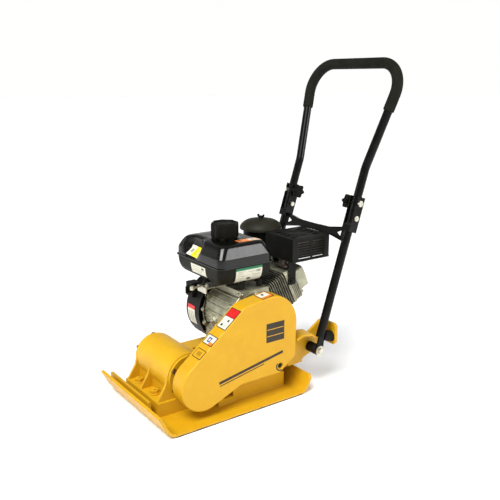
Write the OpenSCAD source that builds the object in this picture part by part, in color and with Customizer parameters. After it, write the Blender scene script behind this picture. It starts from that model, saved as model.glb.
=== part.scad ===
// Forward plate compactor driven by a small four-stroke engine.
// Millimetres. Origin at the centre of the plate's flat sole, on the ground.
// +X points to the belt guard, +Y to the push handle, +Z up.

/* [Base plate] */
// Width of the base plate
plate_w = 350; // [340:1:360]
// Length of the flat part of the sole
sole_len = 392; // [386:1:396]
// Thickness of the bent plate
plate_t = 8; // [7:0.5:9]
// Height of the front lip
front_lip_h = 67; // [62:1:72]
// Height of the rear lip
rear_lip_h = 54; // [50:1:58]
// Angle through which both lips are turned up
lip_turn = 64; // [58:1:68]
// Corner cut off each end of the rear lip
lip_corner = 20; // [12:1:26]

/* [Exciter] */
// Y of the exciter shaft
ex_y = -106; // [-108:1:-104]
// Height of the exciter shaft
ex_z = 101; // [99:1:103]
// Outer radius of the exciter drum
drum_r = 63; // [60:1:64]
// Top of the exciter's foot flange
foot_top = 46; // [42:1:48]

/* [Belt drive] */
// Pitch radius of the exciter pulley
ex_pitch_r = 36; // [34:1:38]
// Pitch radius of the clutch drum
clutch_pitch_r = 55; // [52:1:56]
// Width of the belt
belt_w = 12; // [10:1:13]

/* [Belt guard] */
// Outer face of the guard
guard_x = 150; // [146:1:152]
// Radius of the guard round the exciter pulley
guard_front_r = 69; // [67:1:71]
// Radius of the guard round the clutch
guard_rear_r = 89.5; // [88:0.5:91]
// Sheet thickness of the guard
guard_t = 3; // [2:0.5:4]

/* [Engine] */
// Y of the crankshaft
crank_y = 110; // [109:1:111]
// Height of the crankshaft
crank_z = 216; // [215:1:217]
// Lean of the cylinder above horizontal
cyl_rise = 25; // [24:1:26]
// Cylinder bore radius
bore_r = 34; // [32:1:35]
// Radius of the blower housing
blower_r = 103; // [100:1:104]

/* [Handle] */
// Half distance between the handle's legs
leg_x = 146; // [145:0.5:147]
// Lean of the handle towards the operator
handle_lean = 18.1; // [17.5:0.1:18.5]
// Outer radius of the handle tube
tube_r = 12.5; // [12:0.1:12.6]
// Wall of the handle tube
tube_wall = 2; // [1.5:0.1:2.5]
// Outer radius of the rubber grip
grip_r = 16; // [15:0.5:17]
// Distance of the fold pivot up the leg
pivot_s = 399; // [396:1:402]
// Distance of the clamping knob up the leg
knob_s = 443; // [442:1:446]
// Distance of the outward bend up the leg
splay_s = 547; // [540:1:555]
// Distance of the top bar up the leg
bar_s = 854; // [840:1:865]
// Half distance between the corners of the top bar
bar_half = 198; // [190:1:202]
// Bend radius of the top corners
corner_r = 80; // [75:1:85]

/* [Hidden] */
$fn = 64;
eps = 0.5;
yellow = [0.93, 0.68, 0.15];
black = [0.09, 0.09, 0.09];
rubber = [0.06, 0.06, 0.06];
silver = [0.66, 0.66, 0.62];
zinc = [0.75, 0.75, 0.73];
dark = [0.16, 0.16, 0.17];
steel = [0.5, 0.5, 0.52];
red = [0.75, 0.08, 0.06];

// base plate
front_bend_r = 45;
rear_bend_r = 32;
bend_steps = 16;
rib_y = -226;
rib_t = 8;
rib_foot = 15;
rib_top = 54;
rib_end = 60;
pad_h = 12;
iso_x = 75;
iso_ys = [45, 168];
rail_x = 99;
rail_t = 6;
rail_y = [12, 190];
rail_top = 50;
ledge_x = 96;
ledge_w = 11;
ledge_y0 = -38;
ledge_top = 24;
ledge_gap = 3;
iso_r = 22;
iso_h = 40;

// exciter
ex_x0 = -122;
ex_x1 = 62;
cavity_r = 50;
cover_r = 60;
cover_t = 9;
cover_gap = 0.5;
spigot = 20;
ex_bearing_r = 40;
ex_shaft_r = 20;
ex_nose_r = 14;
bearing_w = 18;
foot_half = 95;
foot_y0 = ex_y - foot_half;
foot_y1 = ex_y + foot_half;
foot_bolt_xs = [-85, 5];
foot_bolt_ys = [ex_y - 74, ex_y + 74];
skirt_half = 57;
foot_bolt_r = 8;
gusset_t = 8;
gusset_xs = [ex_x0, -44, ex_x1 - gusset_t];
cover_bolt_circle = 55;

// console and guard
deck_top = 110;
deck_t = 6;
console_x0 = -130;
console_x1 = 101;
console_y0 = -38;
console_step = 198;
console_y1 = 262;
console_foot_z = plate_t + pad_h + iso_h;
back_plate_t = 3;
guard_x0 = console_x1 + back_plate_t;
guard_slope = 38.9;
guard_top_slope = 8.5;
guard_corner_r = 35;
guard_low_slope = 22.4;
guard_low_z = 74;
guard_lug = [142, 96];
guard_studs = [[-162, 92], [30, 250], [172, 254]];
stud_r = 9;
stud_end = 140;
belt_x = 118;
groove_side = 0.6;
belt_in = 5;
belt_out = 4;
pulley_x0 = belt_x - 7;
pulley_x1 = belt_x + belt_w + 7;

// engine
cyl_x = 5;
case_x0 = -60;
case_x1 = 72;
case_r = 86;
case_cavity_r = 66;
case_wall = 12;
case_y0 = 28;
case_y1 = 192;
case_roof = 306;
cover_x1 = 84;
main_bearing_r = 26;
main_bearing_w = 14;
shaft_r = 12.5;
pto_r = 9.5;
pto_end = 142;
pin_offset = 22;
web_t = 12;
throw_gap = 22;
engine_bolt_dx = 75.5;
engine_bolt_dy = 162;
engine_bolt_r = 4;
fin_n = 9;
fin_pitch = 7.4;
fin_t = 2.8;
fin_w = 110;
barrel_d0 = 80;
barrel_d1 = 150;
head_d1 = 186;
valve_d1 = 232;
blower_x0 = -134;
blower_x1 = -63;
flywheel_r = 92;
recoil_x0 = -168;
recoil_r = 86;
recoil_drum_r = 44;
rope_r = 2.5;
rope_x = -150;
pull_rise = 165;
rope_line = recoil_drum_r + rope_r + 0.3;
recoil_post_r = 8;
plug_x = 48;

// tank, air cleaner, muffler
tank_x0 = -168;
tank_x1 = 74;
tank_y0 = -8;
tank_y1 = 177;
tank_z0 = 329;
seam_z = 377;
seam_t = 3;
tank_z1 = 439;
neck = [-30, 78];
neck_r = 27;
cap_r = 40;
cap_z1 = 485;
air_c = [-107, 262];
air_z0 = 372;
air_z1 = 392;
air_r = 54;
air_wall = 3.5;
air_top = 428;
cover_rim = 65;
cover_z = [429, 461];
muf_x = [-38, 92];
muf_y = [228, 365];
muf_z = [367, 434];
shield_t = 2;

// handle
handle_y = 277;
handle_z = 108;
bush_y = 283;
bush_z = 108;
leg_s0 = 41;
leg_s1 = pivot_s - 22;
chan_s0 = 358;
chan_s1 = 462;
chan_gap = tube_r + 0.4;
chan_t = 3;
bolt_r = 4;
run_gap = 0.05;
bracket_x = 101;
bracket_t = 8;
bush_x1 = 148.6;
tongue_x0 = 149;
tongue_t = 6;
pin_r = 8;
stop_y = 333;
buffer_s = 48;
buffer_r = 16;
splay = atan((bar_half - leg_x) / (bar_s - splay_s));
splay_r = 100;
splay_run = splay_r * tan(splay / 2);
corner_run = corner_r * tan((90 + splay) / 2);
grip_s = 714;
knob_r = 22;
crossbar_s = 348;

// ---------- helpers ----------

// Extrudes a (Y, Z) outline along X
module along_x(x0, x1) {
  translate([x0, 0, 0]) rotate([90, 0, 90]) linear_extrude(x1 - x0) children();
}

// Extrudes an (X, Z) outline along Y
module along_y(y0, y1) {
  translate([0, y1, 0]) rotate([90, 0, 0]) linear_extrude(y1 - y0) children();
}

// Round bar along X
module rod_x(x0, x1, y, z, r) {
  translate([x0, y, z]) rotate([0, 90, 0]) cylinder(h = x1 - x0, r = r);
}

// Hexagonal prism along X
module hex_x(x0, x1, y, z, r) {
  translate([x0, y, z]) rotate([0, 90, 0]) cylinder(h = x1 - x0, r = r, $fn = 6);
}

// Disc outline in the (Y, Z) plane
module disc(c, r) { translate(c) circle(r); }

// Rectangle with round corners
module round_rect(x0, y0, x1, y1, r) {
  translate([x0 + r, y0]) square([x1 - x0 - 2 * r, y1 - y0]);
  translate([x0, y0 + r]) square([x1 - x0, y1 - y0 - 2 * r]);
  for (x = [x0 + r, x1 - r], y = [y0 + r, y1 - r]) translate([x, y]) circle(r);
}

// Points along an arc, angles in degrees
function arc(c, r, a0, a1, n) =
  [for (i = [0 : n]) let (a = a0 + (a1 - a0) * i / n) c + r * [cos(a), sin(a)]];

module both_sides() {
  children();
  mirror([1, 0, 0]) children();
}

// Frame that leans with the handle: Z runs up the leg
module in_handle() {
  translate([0, handle_y, handle_z]) rotate([-handle_lean, 0, 0]) children();
}

// Frame of the cylinder: Z runs from the crankshaft to the valve cover
module in_cylinder() {
  translate([cyl_x, crank_y, crank_z]) rotate([cyl_rise - 90, 0, 0]) children();
}

// Frame of the starter rope: Z runs along the pull
module in_rope() {
  translate([rope_x, crank_y, crank_z]) rotate([90 - pull_rise, 0, 0])
    translate([0, -rope_line, 0]) children();
}

// Frame of the dipstick neck: Z runs out of the neck
module in_dipstick() {
  translate([plug_x, case_y0 - 3, 146]) rotate([50, 0, 0]) children();
}

// Frame of the spark plug inside the cylinder's frame: Z runs out of the head
module in_plug() {
  translate([-36, -44, head_d1 - 2]) rotate([12, -24, 0]) children();
}

// ---------- base plate and exciter ----------

// Path round a lip that turns up from the origin: underside, tip, then top side
function lip_path(r, rise) =
  let (
    run = (rise - plate_t * cos(lip_turn) - r * (1 - cos(lip_turn))) / sin(lip_turn),
    tip = [r * sin(lip_turn) + run * cos(lip_turn), r * (1 - cos(lip_turn)) + run * sin(lip_turn)]
  )
  concat(
    arc([0, r], r, -90, lip_turn - 90, bend_steps),
    [tip, tip + plate_t * [-sin(lip_turn), cos(lip_turn)]],
    arc([0, r], r - plate_t, lip_turn - 90, -90, bend_steps)
  );

// Section of the bent plate in the (Y, Z) plane
module plate_section() {
  rear = lip_path(rear_bend_r, rear_lip_h);
  front = lip_path(front_bend_r, front_lip_h);
  polygon(concat(
    [for (p = rear) [sole_len / 2 + p[0], p[1]]],
    [for (i = [len(front) - 1 : -1 : 0]) [-sole_len / 2 - front[i][0], front[i][1]]]
  ));
}

module ledge_section(y0)
  translate([y0, plate_t - eps]) square([rail_y[0] - y0 + eps, ledge_top - plate_t + eps]);

module base_plate() {
  color(yellow) difference() {
    union() {
      along_x(-plate_w / 2, plate_w / 2) plate_section();
      along_x(-plate_w / 2, rib_end) translate([rib_y, rib_foot]) square([rib_t, rib_top - rib_foot]);
      for (x = [-iso_x, iso_x], y = iso_ys)
        translate([x, y, plate_t - eps]) cylinder(h = pad_h + eps, r = iso_r + 1);
      both_sides() {
        along_x(rail_x, rail_x + rail_t)
          translate([rail_y[0], plate_t - eps]) square([rail_y[1] - rail_y[0], rail_top - plate_t + eps]);
      }
      along_x(ledge_x, ledge_x + ledge_w) ledge_section(ledge_y0);
      along_x(-ledge_x - ledge_w, -ledge_x) ledge_section(foot_y1 + ledge_gap);
    }
    both_sides() along_y(sole_len / 2 + 12, sole_len / 2 + 90)
      polygon([
        [plate_w / 2 - lip_corner, rear_lip_h + 8],
        [plate_w / 2 + 8, rear_lip_h + 8],
        [plate_w / 2 + 8, rear_lip_h - lip_corner]
      ]);
    for (x = foot_bolt_xs, y = foot_bolt_ys)
      translate([x, y, 2]) cylinder(h = plate_t, r = foot_bolt_r);
  }
}

module exciter_housing() {
  color(yellow) difference() {
    union() {
      rod_x(ex_x0, ex_x1, ex_y, ex_z, drum_r);
      along_x(ex_x0 - 6, ex_x1 + 8) polygon([
        [foot_y0, foot_top], [foot_y0, plate_t + 1], [foot_y0 + 6, plate_t],
        [foot_y1, plate_t], [foot_y1, foot_top]
      ]);
      translate([ex_x0, ex_y - skirt_half, foot_top - eps])
        cube([ex_x1 - ex_x0, 2 * skirt_half, ex_z - foot_top + eps]);
      for (x = gusset_xs) along_x(x, x + gusset_t) polygon([
        [foot_y0 + 1, foot_top - eps], [ex_y - drum_r - 6, ex_z - 16], [ex_y - drum_r + 2, ex_z + 12],
        [ex_y, ex_z], [ex_y + drum_r - 2, ex_z], [foot_y1 - 1, foot_top - eps]
      ]);
    }
    rod_x(ex_x0 - 1, ex_x1 + 1, ex_y, ex_z, cavity_r);
    rod_x(ex_x0 - cover_t, ex_x0, ex_y, ex_z, cover_r + cover_gap);
    rod_x(ex_x1, ex_x1 + cover_t, ex_y, ex_z, cover_r + cover_gap);
    for (x = foot_bolt_xs, y = foot_bolt_ys)
      translate([x, y, 0]) cylinder(h = foot_top + 10, r = foot_bolt_r);
  }
}

module exciter_end_covers() {
  color(yellow) {
    difference() {
      union() {
        rod_x(ex_x1, ex_x1 + cover_t, ex_y, ex_z, cover_r);
        rod_x(ex_x1 - spigot, ex_x1 + eps, ex_y, ex_z, cavity_r);
      }
      rod_x(ex_x1 - spigot - 1, ex_x1 - spigot + bearing_w, ex_y, ex_z, ex_bearing_r);
      rod_x(ex_x1 - spigot, ex_x1 + cover_t + 1, ex_y, ex_z, ex_nose_r + 2);
    }
    difference() {
      union() {
        rod_x(ex_x0 - cover_t, ex_x0, ex_y, ex_z, cover_r);
        rod_x(ex_x0 - eps, ex_x0 + spigot, ex_y, ex_z, cavity_r);
      }
      rod_x(ex_x0 + spigot - bearing_w, ex_x0 + spigot + 1, ex_y, ex_z, ex_bearing_r);
    }
  }
}

module foot_bolt() {
  translate([0, 0, 2]) cylinder(h = foot_top + 2, r = foot_bolt_r);
  translate([0, 0, foot_top]) cylinder(h = 3, r = 15);
  translate([0, 0, foot_top + 3]) cylinder(h = 10, r = 13, $fn = 6);
}

module exciter_bolts() {
  color(zinc) {
    for (x = foot_bolt_xs, y = foot_bolt_ys) translate([x, y, 0]) foot_bolt();
    for (a = [30 : 60 : 330]) {
      y = ex_y + cover_bolt_circle * cos(a);
      z = ex_z + cover_bolt_circle * sin(a);
      hex_x(ex_x1 + cover_t, ex_x1 + cover_t + 6, y, z, 6.5);
      hex_x(ex_x0 - cover_t - 6, ex_x0 - cover_t, y, z, 6.5);
    }
  }
}

module bearing(x0, w, y, z, r_out, r_in) {
  difference() {
    rod_x(x0, x0 + w, y, z, r_out);
    rod_x(x0 - 1, x0 + w + 1, y, z, r_in);
  }
}

module shaft_bearings() {
  color(steel) {
    for (x = [ex_x0 + spigot - bearing_w, ex_x1 - spigot])
      bearing(x, bearing_w, ex_y, ex_z, ex_bearing_r, ex_shaft_r);
    for (x = [case_x0 - 2, case_x1 - 4])
      bearing(x, main_bearing_w, crank_y, crank_z, main_bearing_r, shaft_r);
  }
}

module isolators() {
  color(rubber) for (x = [-iso_x, iso_x], y = iso_ys)
    translate([x, y, plate_t + pad_h]) rotate_extrude() difference() {
      square([iso_r, iso_h]);
      translate([iso_r + 14, iso_h / 2]) circle(19);
    }
}

// ---------- console, handle brackets and belt guard ----------

module console() {
  wide = console_step - console_y0;
  rear = console_y1 - console_step;
  skirt = deck_top - console_foot_z;
  color(yellow) difference() {
    union() {
      translate([console_x0, console_y0, deck_top - deck_t])
        cube([console_x1 - console_x0, wide, deck_t]);
      translate([-console_x1, console_step - eps, deck_top - deck_t])
        cube([2 * console_x1, rear + eps, deck_t]);
      translate([console_x0, console_y0, console_foot_z]) cube([deck_t, wide, skirt]);
      translate([console_x1 - deck_t, console_y0, console_foot_z])
        cube([deck_t, wide + rear, skirt]);
      translate([-console_x1, console_step - deck_t, console_foot_z])
        cube([deck_t, rear + deck_t, skirt]);
      translate([console_x0, console_step - deck_t, console_foot_z])
        cube([-console_x1 - console_x0 + deck_t, deck_t, skirt]);
      for (y = iso_ys) translate([-console_x1, y - 28, console_foot_z])
        cube([2 * console_x1, 56, deck_t]);
    }
    translate([-68, -4, deck_top - deck_t - 1]) cylinder(h = deck_t + 2, r = 8);
    for (dx = [-1, 1], dy = [-1, 1])
      translate([cyl_x + dx * engine_bolt_dx / 2, crank_y + dy * engine_bolt_dy / 2, 90])
        cylinder(h = 30, r = engine_bolt_r);
  }
}

module bracket_arm() {
  difference() {
    along_x(bracket_x, bracket_x + bracket_t) polygon([
      [202, 64], [202, 160], [226, 168], [260, 164], [278, 152], [322, 181],
      [stop_y + 8, 181], [stop_y + 8, 117], [304, 92], [262, 78], [240, 64]
    ]);
    rod_x(bracket_x - 1, bracket_x + bracket_t + 1, bush_y, bush_z, pin_r);
  }
  along_x(bracket_x + bracket_t - eps, guard_x) polygon([
    [202, 160], [226, 168], [258, 164], [272, 153],
    [268, 149], [256, 158.5], [227, 162.8], [202, 154.8]
  ]);
  along_y(stop_y, stop_y + 8) polygon([
    [bracket_x + bracket_t - eps, 117], [158, 117], [165, 124],
    [165, 174], [158, 181], [bracket_x + bracket_t - eps, 181]
  ]);
}

module handle_brackets() { color(yellow) both_sides() bracket_arm(); }

module bracket_bushes() {
  color(rubber) both_sides() difference() {
    rod_x(bracket_x + bracket_t, bush_x1, bush_y, bush_z, 15);
    rod_x(bracket_x, bush_x1 + 1, bush_y, bush_z, pin_r);
  }
}

module bracket_bolts() {
  washer_x = tongue_x0 + tongue_t + 0.3;
  color(zinc) both_sides() {
    rod_x(bracket_x - 8, washer_x + 1, bush_y, bush_z, pin_r);
    rod_x(washer_x, washer_x + 2.5, bush_y, bush_z, 15);
    hex_x(washer_x + 2.5, washer_x + 8, bush_y, bush_z, 10);
    hex_x(bracket_x - 7, bracket_x, bush_y, bush_z, 12);
  }
}

module stop_buffers() {
  color(rubber) both_sides() intersection() {
    in_handle() translate([leg_x, 0, buffer_s]) rotate([-90, 0, 0])
      translate([0, 0, tube_r + 0.4]) cylinder(h = 60, r = buffer_r);
    translate([leg_x - 30, 250, 80]) cube([60, stop_y - 250, 140]);
  }
}

// Corner where the guard's sloping front meets its nearly flat top
function normal(a) = [-sin(a), cos(a)];
front_c = [ex_y, ex_z];
rear_c = [crank_y, crank_z];
n_front = normal(guard_slope);
n_top = normal(guard_top_slope);
front_touch = front_c + guard_front_r * n_front;
top_touch = rear_c + guard_rear_r * n_top;
guard_reach = cross(top_touch - front_touch, [cos(guard_top_slope), sin(guard_top_slope)])
  / cross([cos(guard_slope), sin(guard_slope)], [cos(guard_top_slope), sin(guard_top_slope)]);
guard_corner = front_touch + guard_reach * [cos(guard_slope), sin(guard_slope)];
corner_c = guard_corner - guard_corner_r * (n_front + n_top) / (1 + n_front * n_top);
low_touch = front_c - guard_front_r * normal(guard_low_slope);
low_run = (guard_low_z - low_touch[1]) / tan(guard_low_slope);

// Outline of the belt guard, pulled in by an amount
module guard_outline(inset) {
  polygon(concat(
    arc(front_c, guard_front_r - inset, guard_low_slope - 90, guard_slope - 270, 40),
    arc(corner_c, guard_corner_r - inset, guard_slope + 90, guard_top_slope + 90, 8),
    arc(rear_c, guard_rear_r - inset, guard_top_slope + 90, 0, 24),
    [
      [crank_y + guard_rear_r - inset - 3, 114],
      [142 - inset * 0.4, guard_low_z + inset],
      [low_touch[0] + low_run + inset * 0.2, guard_low_z + inset]
    ]
  ));
}

module guard_back_plate() {
  color(yellow) difference() {
    along_x(console_x1, guard_x0) guard_outline(0);
    rod_x(console_x1 - 1, guard_x0 + 1, ex_y, ex_z, 26);
    rod_x(console_x1 - 1, guard_x0 + 1, crank_y, crank_z, 34);
    for (p = concat(guard_studs, [guard_lug]))
      rod_x(console_x1 - 1, guard_x0 + 1, p[0], p[1], bolt_r);
  }
}

module belt_guard() {
  color(yellow) difference() {
    union() {
      difference() {
        along_x(guard_x0, guard_x) guard_outline(0);
        along_x(guard_x0 - 1, guard_x - guard_t) guard_outline(guard_t);
      }
      for (p = concat(guard_studs, [guard_lug])) rod_x(guard_x0, guard_x - 1, p[0], p[1], stud_r);
    }
    for (p = guard_studs) rod_x(guard_x0 - 1, stud_end + 1, p[0], p[1], bolt_r);
    rod_x(guard_x0 - 1, guard_x + 1, guard_lug[0], guard_lug[1], bolt_r);
    rod_x(guard_x - 7, guard_x + 1, guard_lug[0], guard_lug[1], stud_r - 1);
  }
}

module guard_bolts() {
  color(zinc) {
    for (p = guard_studs) {
      rod_x(console_x1 - 1, stud_end, p[0], p[1], bolt_r);
      hex_x(console_x1 - 6, console_x1, p[0], p[1], 6.5);
    }
    rod_x(console_x1, guard_x - 6, guard_lug[0], guard_lug[1], bolt_r);
    hex_x(guard_x - 7, guard_x - 2.5, guard_lug[0], guard_lug[1], 6.5);
  }
}

// Closed belt outline round both pulleys at a distance from the pitch line
module belt_outline(d) {
  span = rear_c - front_c;
  rise = atan2(span[1], span[0]);
  wrap = acos((ex_pitch_r - clutch_pitch_r) / norm(span));
  polygon(concat(
    arc(front_c, ex_pitch_r + d, rise + wrap, rise + 360 - wrap, 36),
    arc(rear_c, clutch_pitch_r + d, rise - wrap, rise + wrap, 44)
  ));
}

module drive_belt() {
  color(rubber) along_x(belt_x, belt_x + belt_w) difference() {
    belt_outline(belt_out);
    belt_outline(-belt_in);
  }
}

// Grooved rim: the belt stands clear of the groove on all three sides
module grooved_rim(y, z, pitch_r) {
  difference() {
    rod_x(pulley_x0, pulley_x1, y, z, pitch_r + belt_out - 1);
    difference() {
      rod_x(belt_x - groove_side, belt_x + belt_w + groove_side, y, z, pitch_r + belt_out);
      rod_x(belt_x - 1, belt_x + belt_w + 1, y, z, pitch_r - belt_in - 0.35);
    }
  }
}

module exciter_pulley() {
  color(dark) difference() {
    grooved_rim(ex_y, ex_z, ex_pitch_r);
    rod_x(pulley_x0 - 1, pulley_x1 + 1, ex_y, ex_z, ex_nose_r);
  }
}

module exciter_shaft() {
  r = ex_shaft_r - run_gap;
  color(steel) {
    rod_x(ex_x0 + 3, ex_x1 - 3, ex_y, ex_z, r);
    rod_x(ex_x1 - 3 - eps, pulley_x1 + 4, ex_y, ex_z, ex_nose_r);
    hex_x(pulley_x1, pulley_x1 + 6, ex_y, ex_z, 13);
  }
}

module eccentric_weight() {
  color(steel) difference() {
    union() {
      intersection() {
        rod_x(-92, 32, ex_y, ex_z, 46);
        translate([-100, ex_y - 60, ex_z - 60]) cube([140, 120, 60]);
      }
      rod_x(-92, 32, ex_y, ex_z, 28);
    }
    rod_x(-93, 33, ex_y, ex_z, ex_shaft_r - run_gap);
  }
}

module clutch_drum() {
  color(dark) difference() {
    grooved_rim(crank_y, crank_z, clutch_pitch_r);
    rod_x(pulley_x0 + 5, pulley_x1 + 1, crank_y, crank_z, 43);
    rod_x(pulley_x0 - 1, pulley_x1 + 1, crank_y, crank_z, pto_r + run_gap);
  }
}

module clutch_shoes() {
  x0 = pulley_x0 + 8;
  color(steel) {
    difference() {
      rod_x(x0, pulley_x1 - 1, crank_y, crank_z, 16);
      rod_x(x0 - 1, pulley_x1, crank_y, crank_z, pto_r);
    }
    for (a = [0, 180]) translate([x0 + 2, crank_y, crank_z]) rotate([a, 0, 0])
      rotate([90, 0, 90]) linear_extrude(14) difference() {
        circle(40);
        circle(16);
        translate([-45, -90]) square([90, 92]);
      }
  }
}

// ---------- engine ----------

module crankcase() {
  color(silver) difference() {
    union() {
      along_x(case_x0, case_x1) {
        disc(rear_c, case_r);
        translate([case_y0, deck_top]) square([case_y1 - case_y0, crank_z - deck_top]);
        translate([62, crank_z]) square([96, case_roof - crank_z]);
      }
      translate([case_x0 + 8, case_y0 - 14, deck_top])
        cube([case_x1 - case_x0 - 16, case_y1 - case_y0 + 28, 9]);
      in_cylinder() translate([-52, -52, 40]) cube([104, 104, barrel_d0 - 40]);
      for (z = [150 : 22 : 194]) translate([case_x0 + 6, case_y0 - 3, z])
        cube([case_x1 - case_x0 - 12, 6, 4]);
      in_dipstick() translate([0, 0, -20]) cylinder(h = 34, r = 15);
    }
    rod_x(case_x0 + case_wall, case_x1 + 1, crank_y, crank_z, case_cavity_r);
    rod_x(case_x0 - 1, case_x0 + case_wall + 1, crank_y, crank_z, main_bearing_r);
    in_cylinder() cylinder(h = barrel_d0 + 1, r = bore_r);
    in_cylinder() translate([-80, -80, barrel_d0]) cube([160, 160, 30]);
    in_dipstick() translate([0, 0, -40]) cylinder(h = 64, r = 8);
    for (dx = [-1, 1], dy = [-1, 1])
      translate([cyl_x + dx * engine_bolt_dx / 2, crank_y + dy * engine_bolt_dy / 2, 0]) {
        translate([0, 0, 100]) cylinder(h = 20, r = engine_bolt_r);
        translate([0, 0, deck_top + 9]) cylinder(h = 24, r = 9.5);
      }
  }
}

module crankcase_cover() {
  color(silver) difference() {
    union() {
      along_x(case_x1, case_x1 + 6) {
        disc(rear_c, case_r - 1);
        translate([case_y0 + 3, 122]) square([case_y1 - case_y0 - 6, crank_z - 122]);
      }
      rod_x(case_x1, cover_x1, crank_y, crank_z, 44);
      for (a = [0 : 45 : 315])
        hex_x(case_x1 + 6, case_x1 + 10, crank_y + 76 * cos(a), crank_z + 76 * sin(a), 6);
    }
    rod_x(case_x1 - 1, case_x1 - 4 + main_bearing_w, crank_y, crank_z, main_bearing_r);
    rod_x(case_x1 - 1, cover_x1 + 1, crank_y, crank_z, shaft_r + 1);
  }
}

module fin(w) { linear_extrude(fin_t) round_rect(-w / 2, -w / 2, w / 2, w / 2, 10); }

module cylinder_block_shape() {
  translate([0, 0, barrel_d0]) cylinder(h = barrel_d1 - barrel_d0, r = 42);
  for (i = [0 : fin_n - 1]) translate([0, 0, barrel_d0 + 2 + i * fin_pitch]) fin(fin_w);
}

module cylinder_bank() {
  color(dark) in_cylinder() difference() {
    cylinder_block_shape();
    translate([0, 0, barrel_d0 - 1]) cylinder(h = barrel_d1 - barrel_d0 + 2, r = bore_r);
  }
}

module cylinder_head() {
  color(silver) in_cylinder() difference() {
    union() {
      translate([0, 0, barrel_d1]) linear_extrude(10) round_rect(-54, -54, 54, 54, 8);
      translate([0, 0, barrel_d1]) linear_extrude(head_d1 - barrel_d1)
        round_rect(-46, -38, 46, 46, 8);
      for (i = [0 : 3]) translate([0, 0, barrel_d1 + 13 + i * 6]) fin(106);
    }
    in_plug() translate([0, 0, -2]) cylinder(h = 20, r = 7.4);
  }
}

module valve_cover() {
  color(silver) in_cylinder() {
    translate([0, 0, head_d1]) linear_extrude(6) round_rect(-44, -34, 44, 50, 10);
    translate([0, 0, head_d1]) linear_extrude(valve_d1 - head_d1 - 6) round_rect(-38, -28, 38, 44, 12);
    translate([0, 0, head_d1]) linear_extrude(valve_d1 - head_d1) round_rect(-30, -20, 30, 36, 12);
    for (x = [-39, 39], y = [-28, 44])
      translate([x, y, head_d1 + 6]) cylinder(h = 5, r = 5, $fn = 6);
  }
}

module spark_plug() {
  color(black) in_cylinder() in_plug() {
    cylinder(h = 20, r = 7);
    translate([0, 0, 12]) cylinder(h = 34, r = 10);
    translate([0, 0, 38]) rotate([90, 0, 0]) cylinder(h = 20, r = 5);
  }
}

// Outline of the blower housing: a drum with a duct to the cylinder
module blower_outline(inset) {
  polygon(concat(
    arc(rear_c, blower_r - inset, 96, 360, 66),
    [[222 - inset, 230], [232 - inset, 300 - inset], [182, 326 - inset]]
  ));
}

module blower_housing() {
  color(black) difference() {
    along_x(blower_x0, blower_x1) blower_outline(0);
    along_x(blower_x0 + 3, blower_x1 + 1) blower_outline(3);
    rod_x(blower_x0 - 1, blower_x0 + 4, crank_y, crank_z, 72);
  }
}

module recoil_cover() {
  depth = blower_x0 - recoil_x0;
  color(black) difference() {
    union() {
      difference() {
        translate([blower_x0, crank_y, crank_z]) rotate([0, -90, 0]) rotate_extrude() polygon([
          [0, 0], [recoil_r, 0], [recoil_r, depth - 14], [recoil_r - 14, depth - 3],
          [40, depth], [0, depth]
        ]);
        translate([blower_x0, crank_y, crank_z]) rotate([0, -90, 0]) rotate_extrude() polygon([
          [0, -1], [recoil_r - 3, -1], [recoil_r - 3, depth - 15], [recoil_r - 15, depth - 6],
          [40, depth - 3], [0, depth - 3]
        ]);
        for (a = [0 : 24 : 336]) translate([0, crank_y, crank_z]) rotate([a, 0, 0])
          translate([recoil_x0 - 5, -3, 46]) cube([20, 6, 24]);
      }
      rod_x(recoil_x0 + 2, recoil_x0 + 26, crank_y, crank_z, recoil_post_r);
    }
    in_rope() translate([0, 0, 55]) cylinder(h = 60, r = rope_r + 1.5);
  }
}

module recoil_pulley() {
  color(dark) difference() {
    rod_x(rope_x - 7, rope_x + 7, crank_y, crank_z, recoil_drum_r);
    rod_x(rope_x - 8, rope_x + 8, crank_y, crank_z, recoil_post_r + run_gap);
  }
}

module recoil_grip() {
  color(rubber) in_rope() {
    translate([0, 0, -62]) cylinder(h = 158, r = rope_r);
    translate([0, 0, 92]) cylinder(h = 14, r = 7);
    translate([0, 0, 106]) rotate([90, 0, 0]) translate([0, 0, -34]) cylinder(h = 68, r = 9);
  }
}

module crankshaft() {
  x0 = cyl_x - throw_gap / 2 - web_t;
  x1 = cyl_x + throw_gap / 2 + web_t;
  r = shaft_r - run_gap;
  color(steel) {
    rod_x(-138, x0 + eps, crank_y, crank_z, r);
    rod_x(x1 - eps, cover_x1, crank_y, crank_z, r);
    rod_x(cover_x1 - eps, pto_end, crank_y, crank_z, pto_r);
    rod_x(x0, x1, crank_y, crank_z + pin_offset, 15);
    for (x = [x0, x1 - web_t]) along_x(x, x + web_t) {
      disc([crank_y, crank_z + pin_offset], 20);
      difference() {
        disc(rear_c, 48);
        translate([crank_y - 60, crank_z + 4]) square([120, 60]);
      }
      translate([crank_y - 20, crank_z]) square([40, pin_offset]);
    }
  }
}

module flywheel() {
  color(steel) difference() {
    union() {
      rod_x(-108, -92, crank_y, crank_z, flywheel_r);
      rod_x(-124, -107, crank_y, crank_z, 30);
      for (a = [0 : 20 : 340]) translate([0, crank_y, crank_z]) rotate([a, 0, 0])
        translate([-122, -1.5, 52]) cube([15, 3, flywheel_r - 56]);
    }
    rod_x(-130, -80, crank_y, crank_z, shaft_r - run_gap);
  }
}

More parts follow.
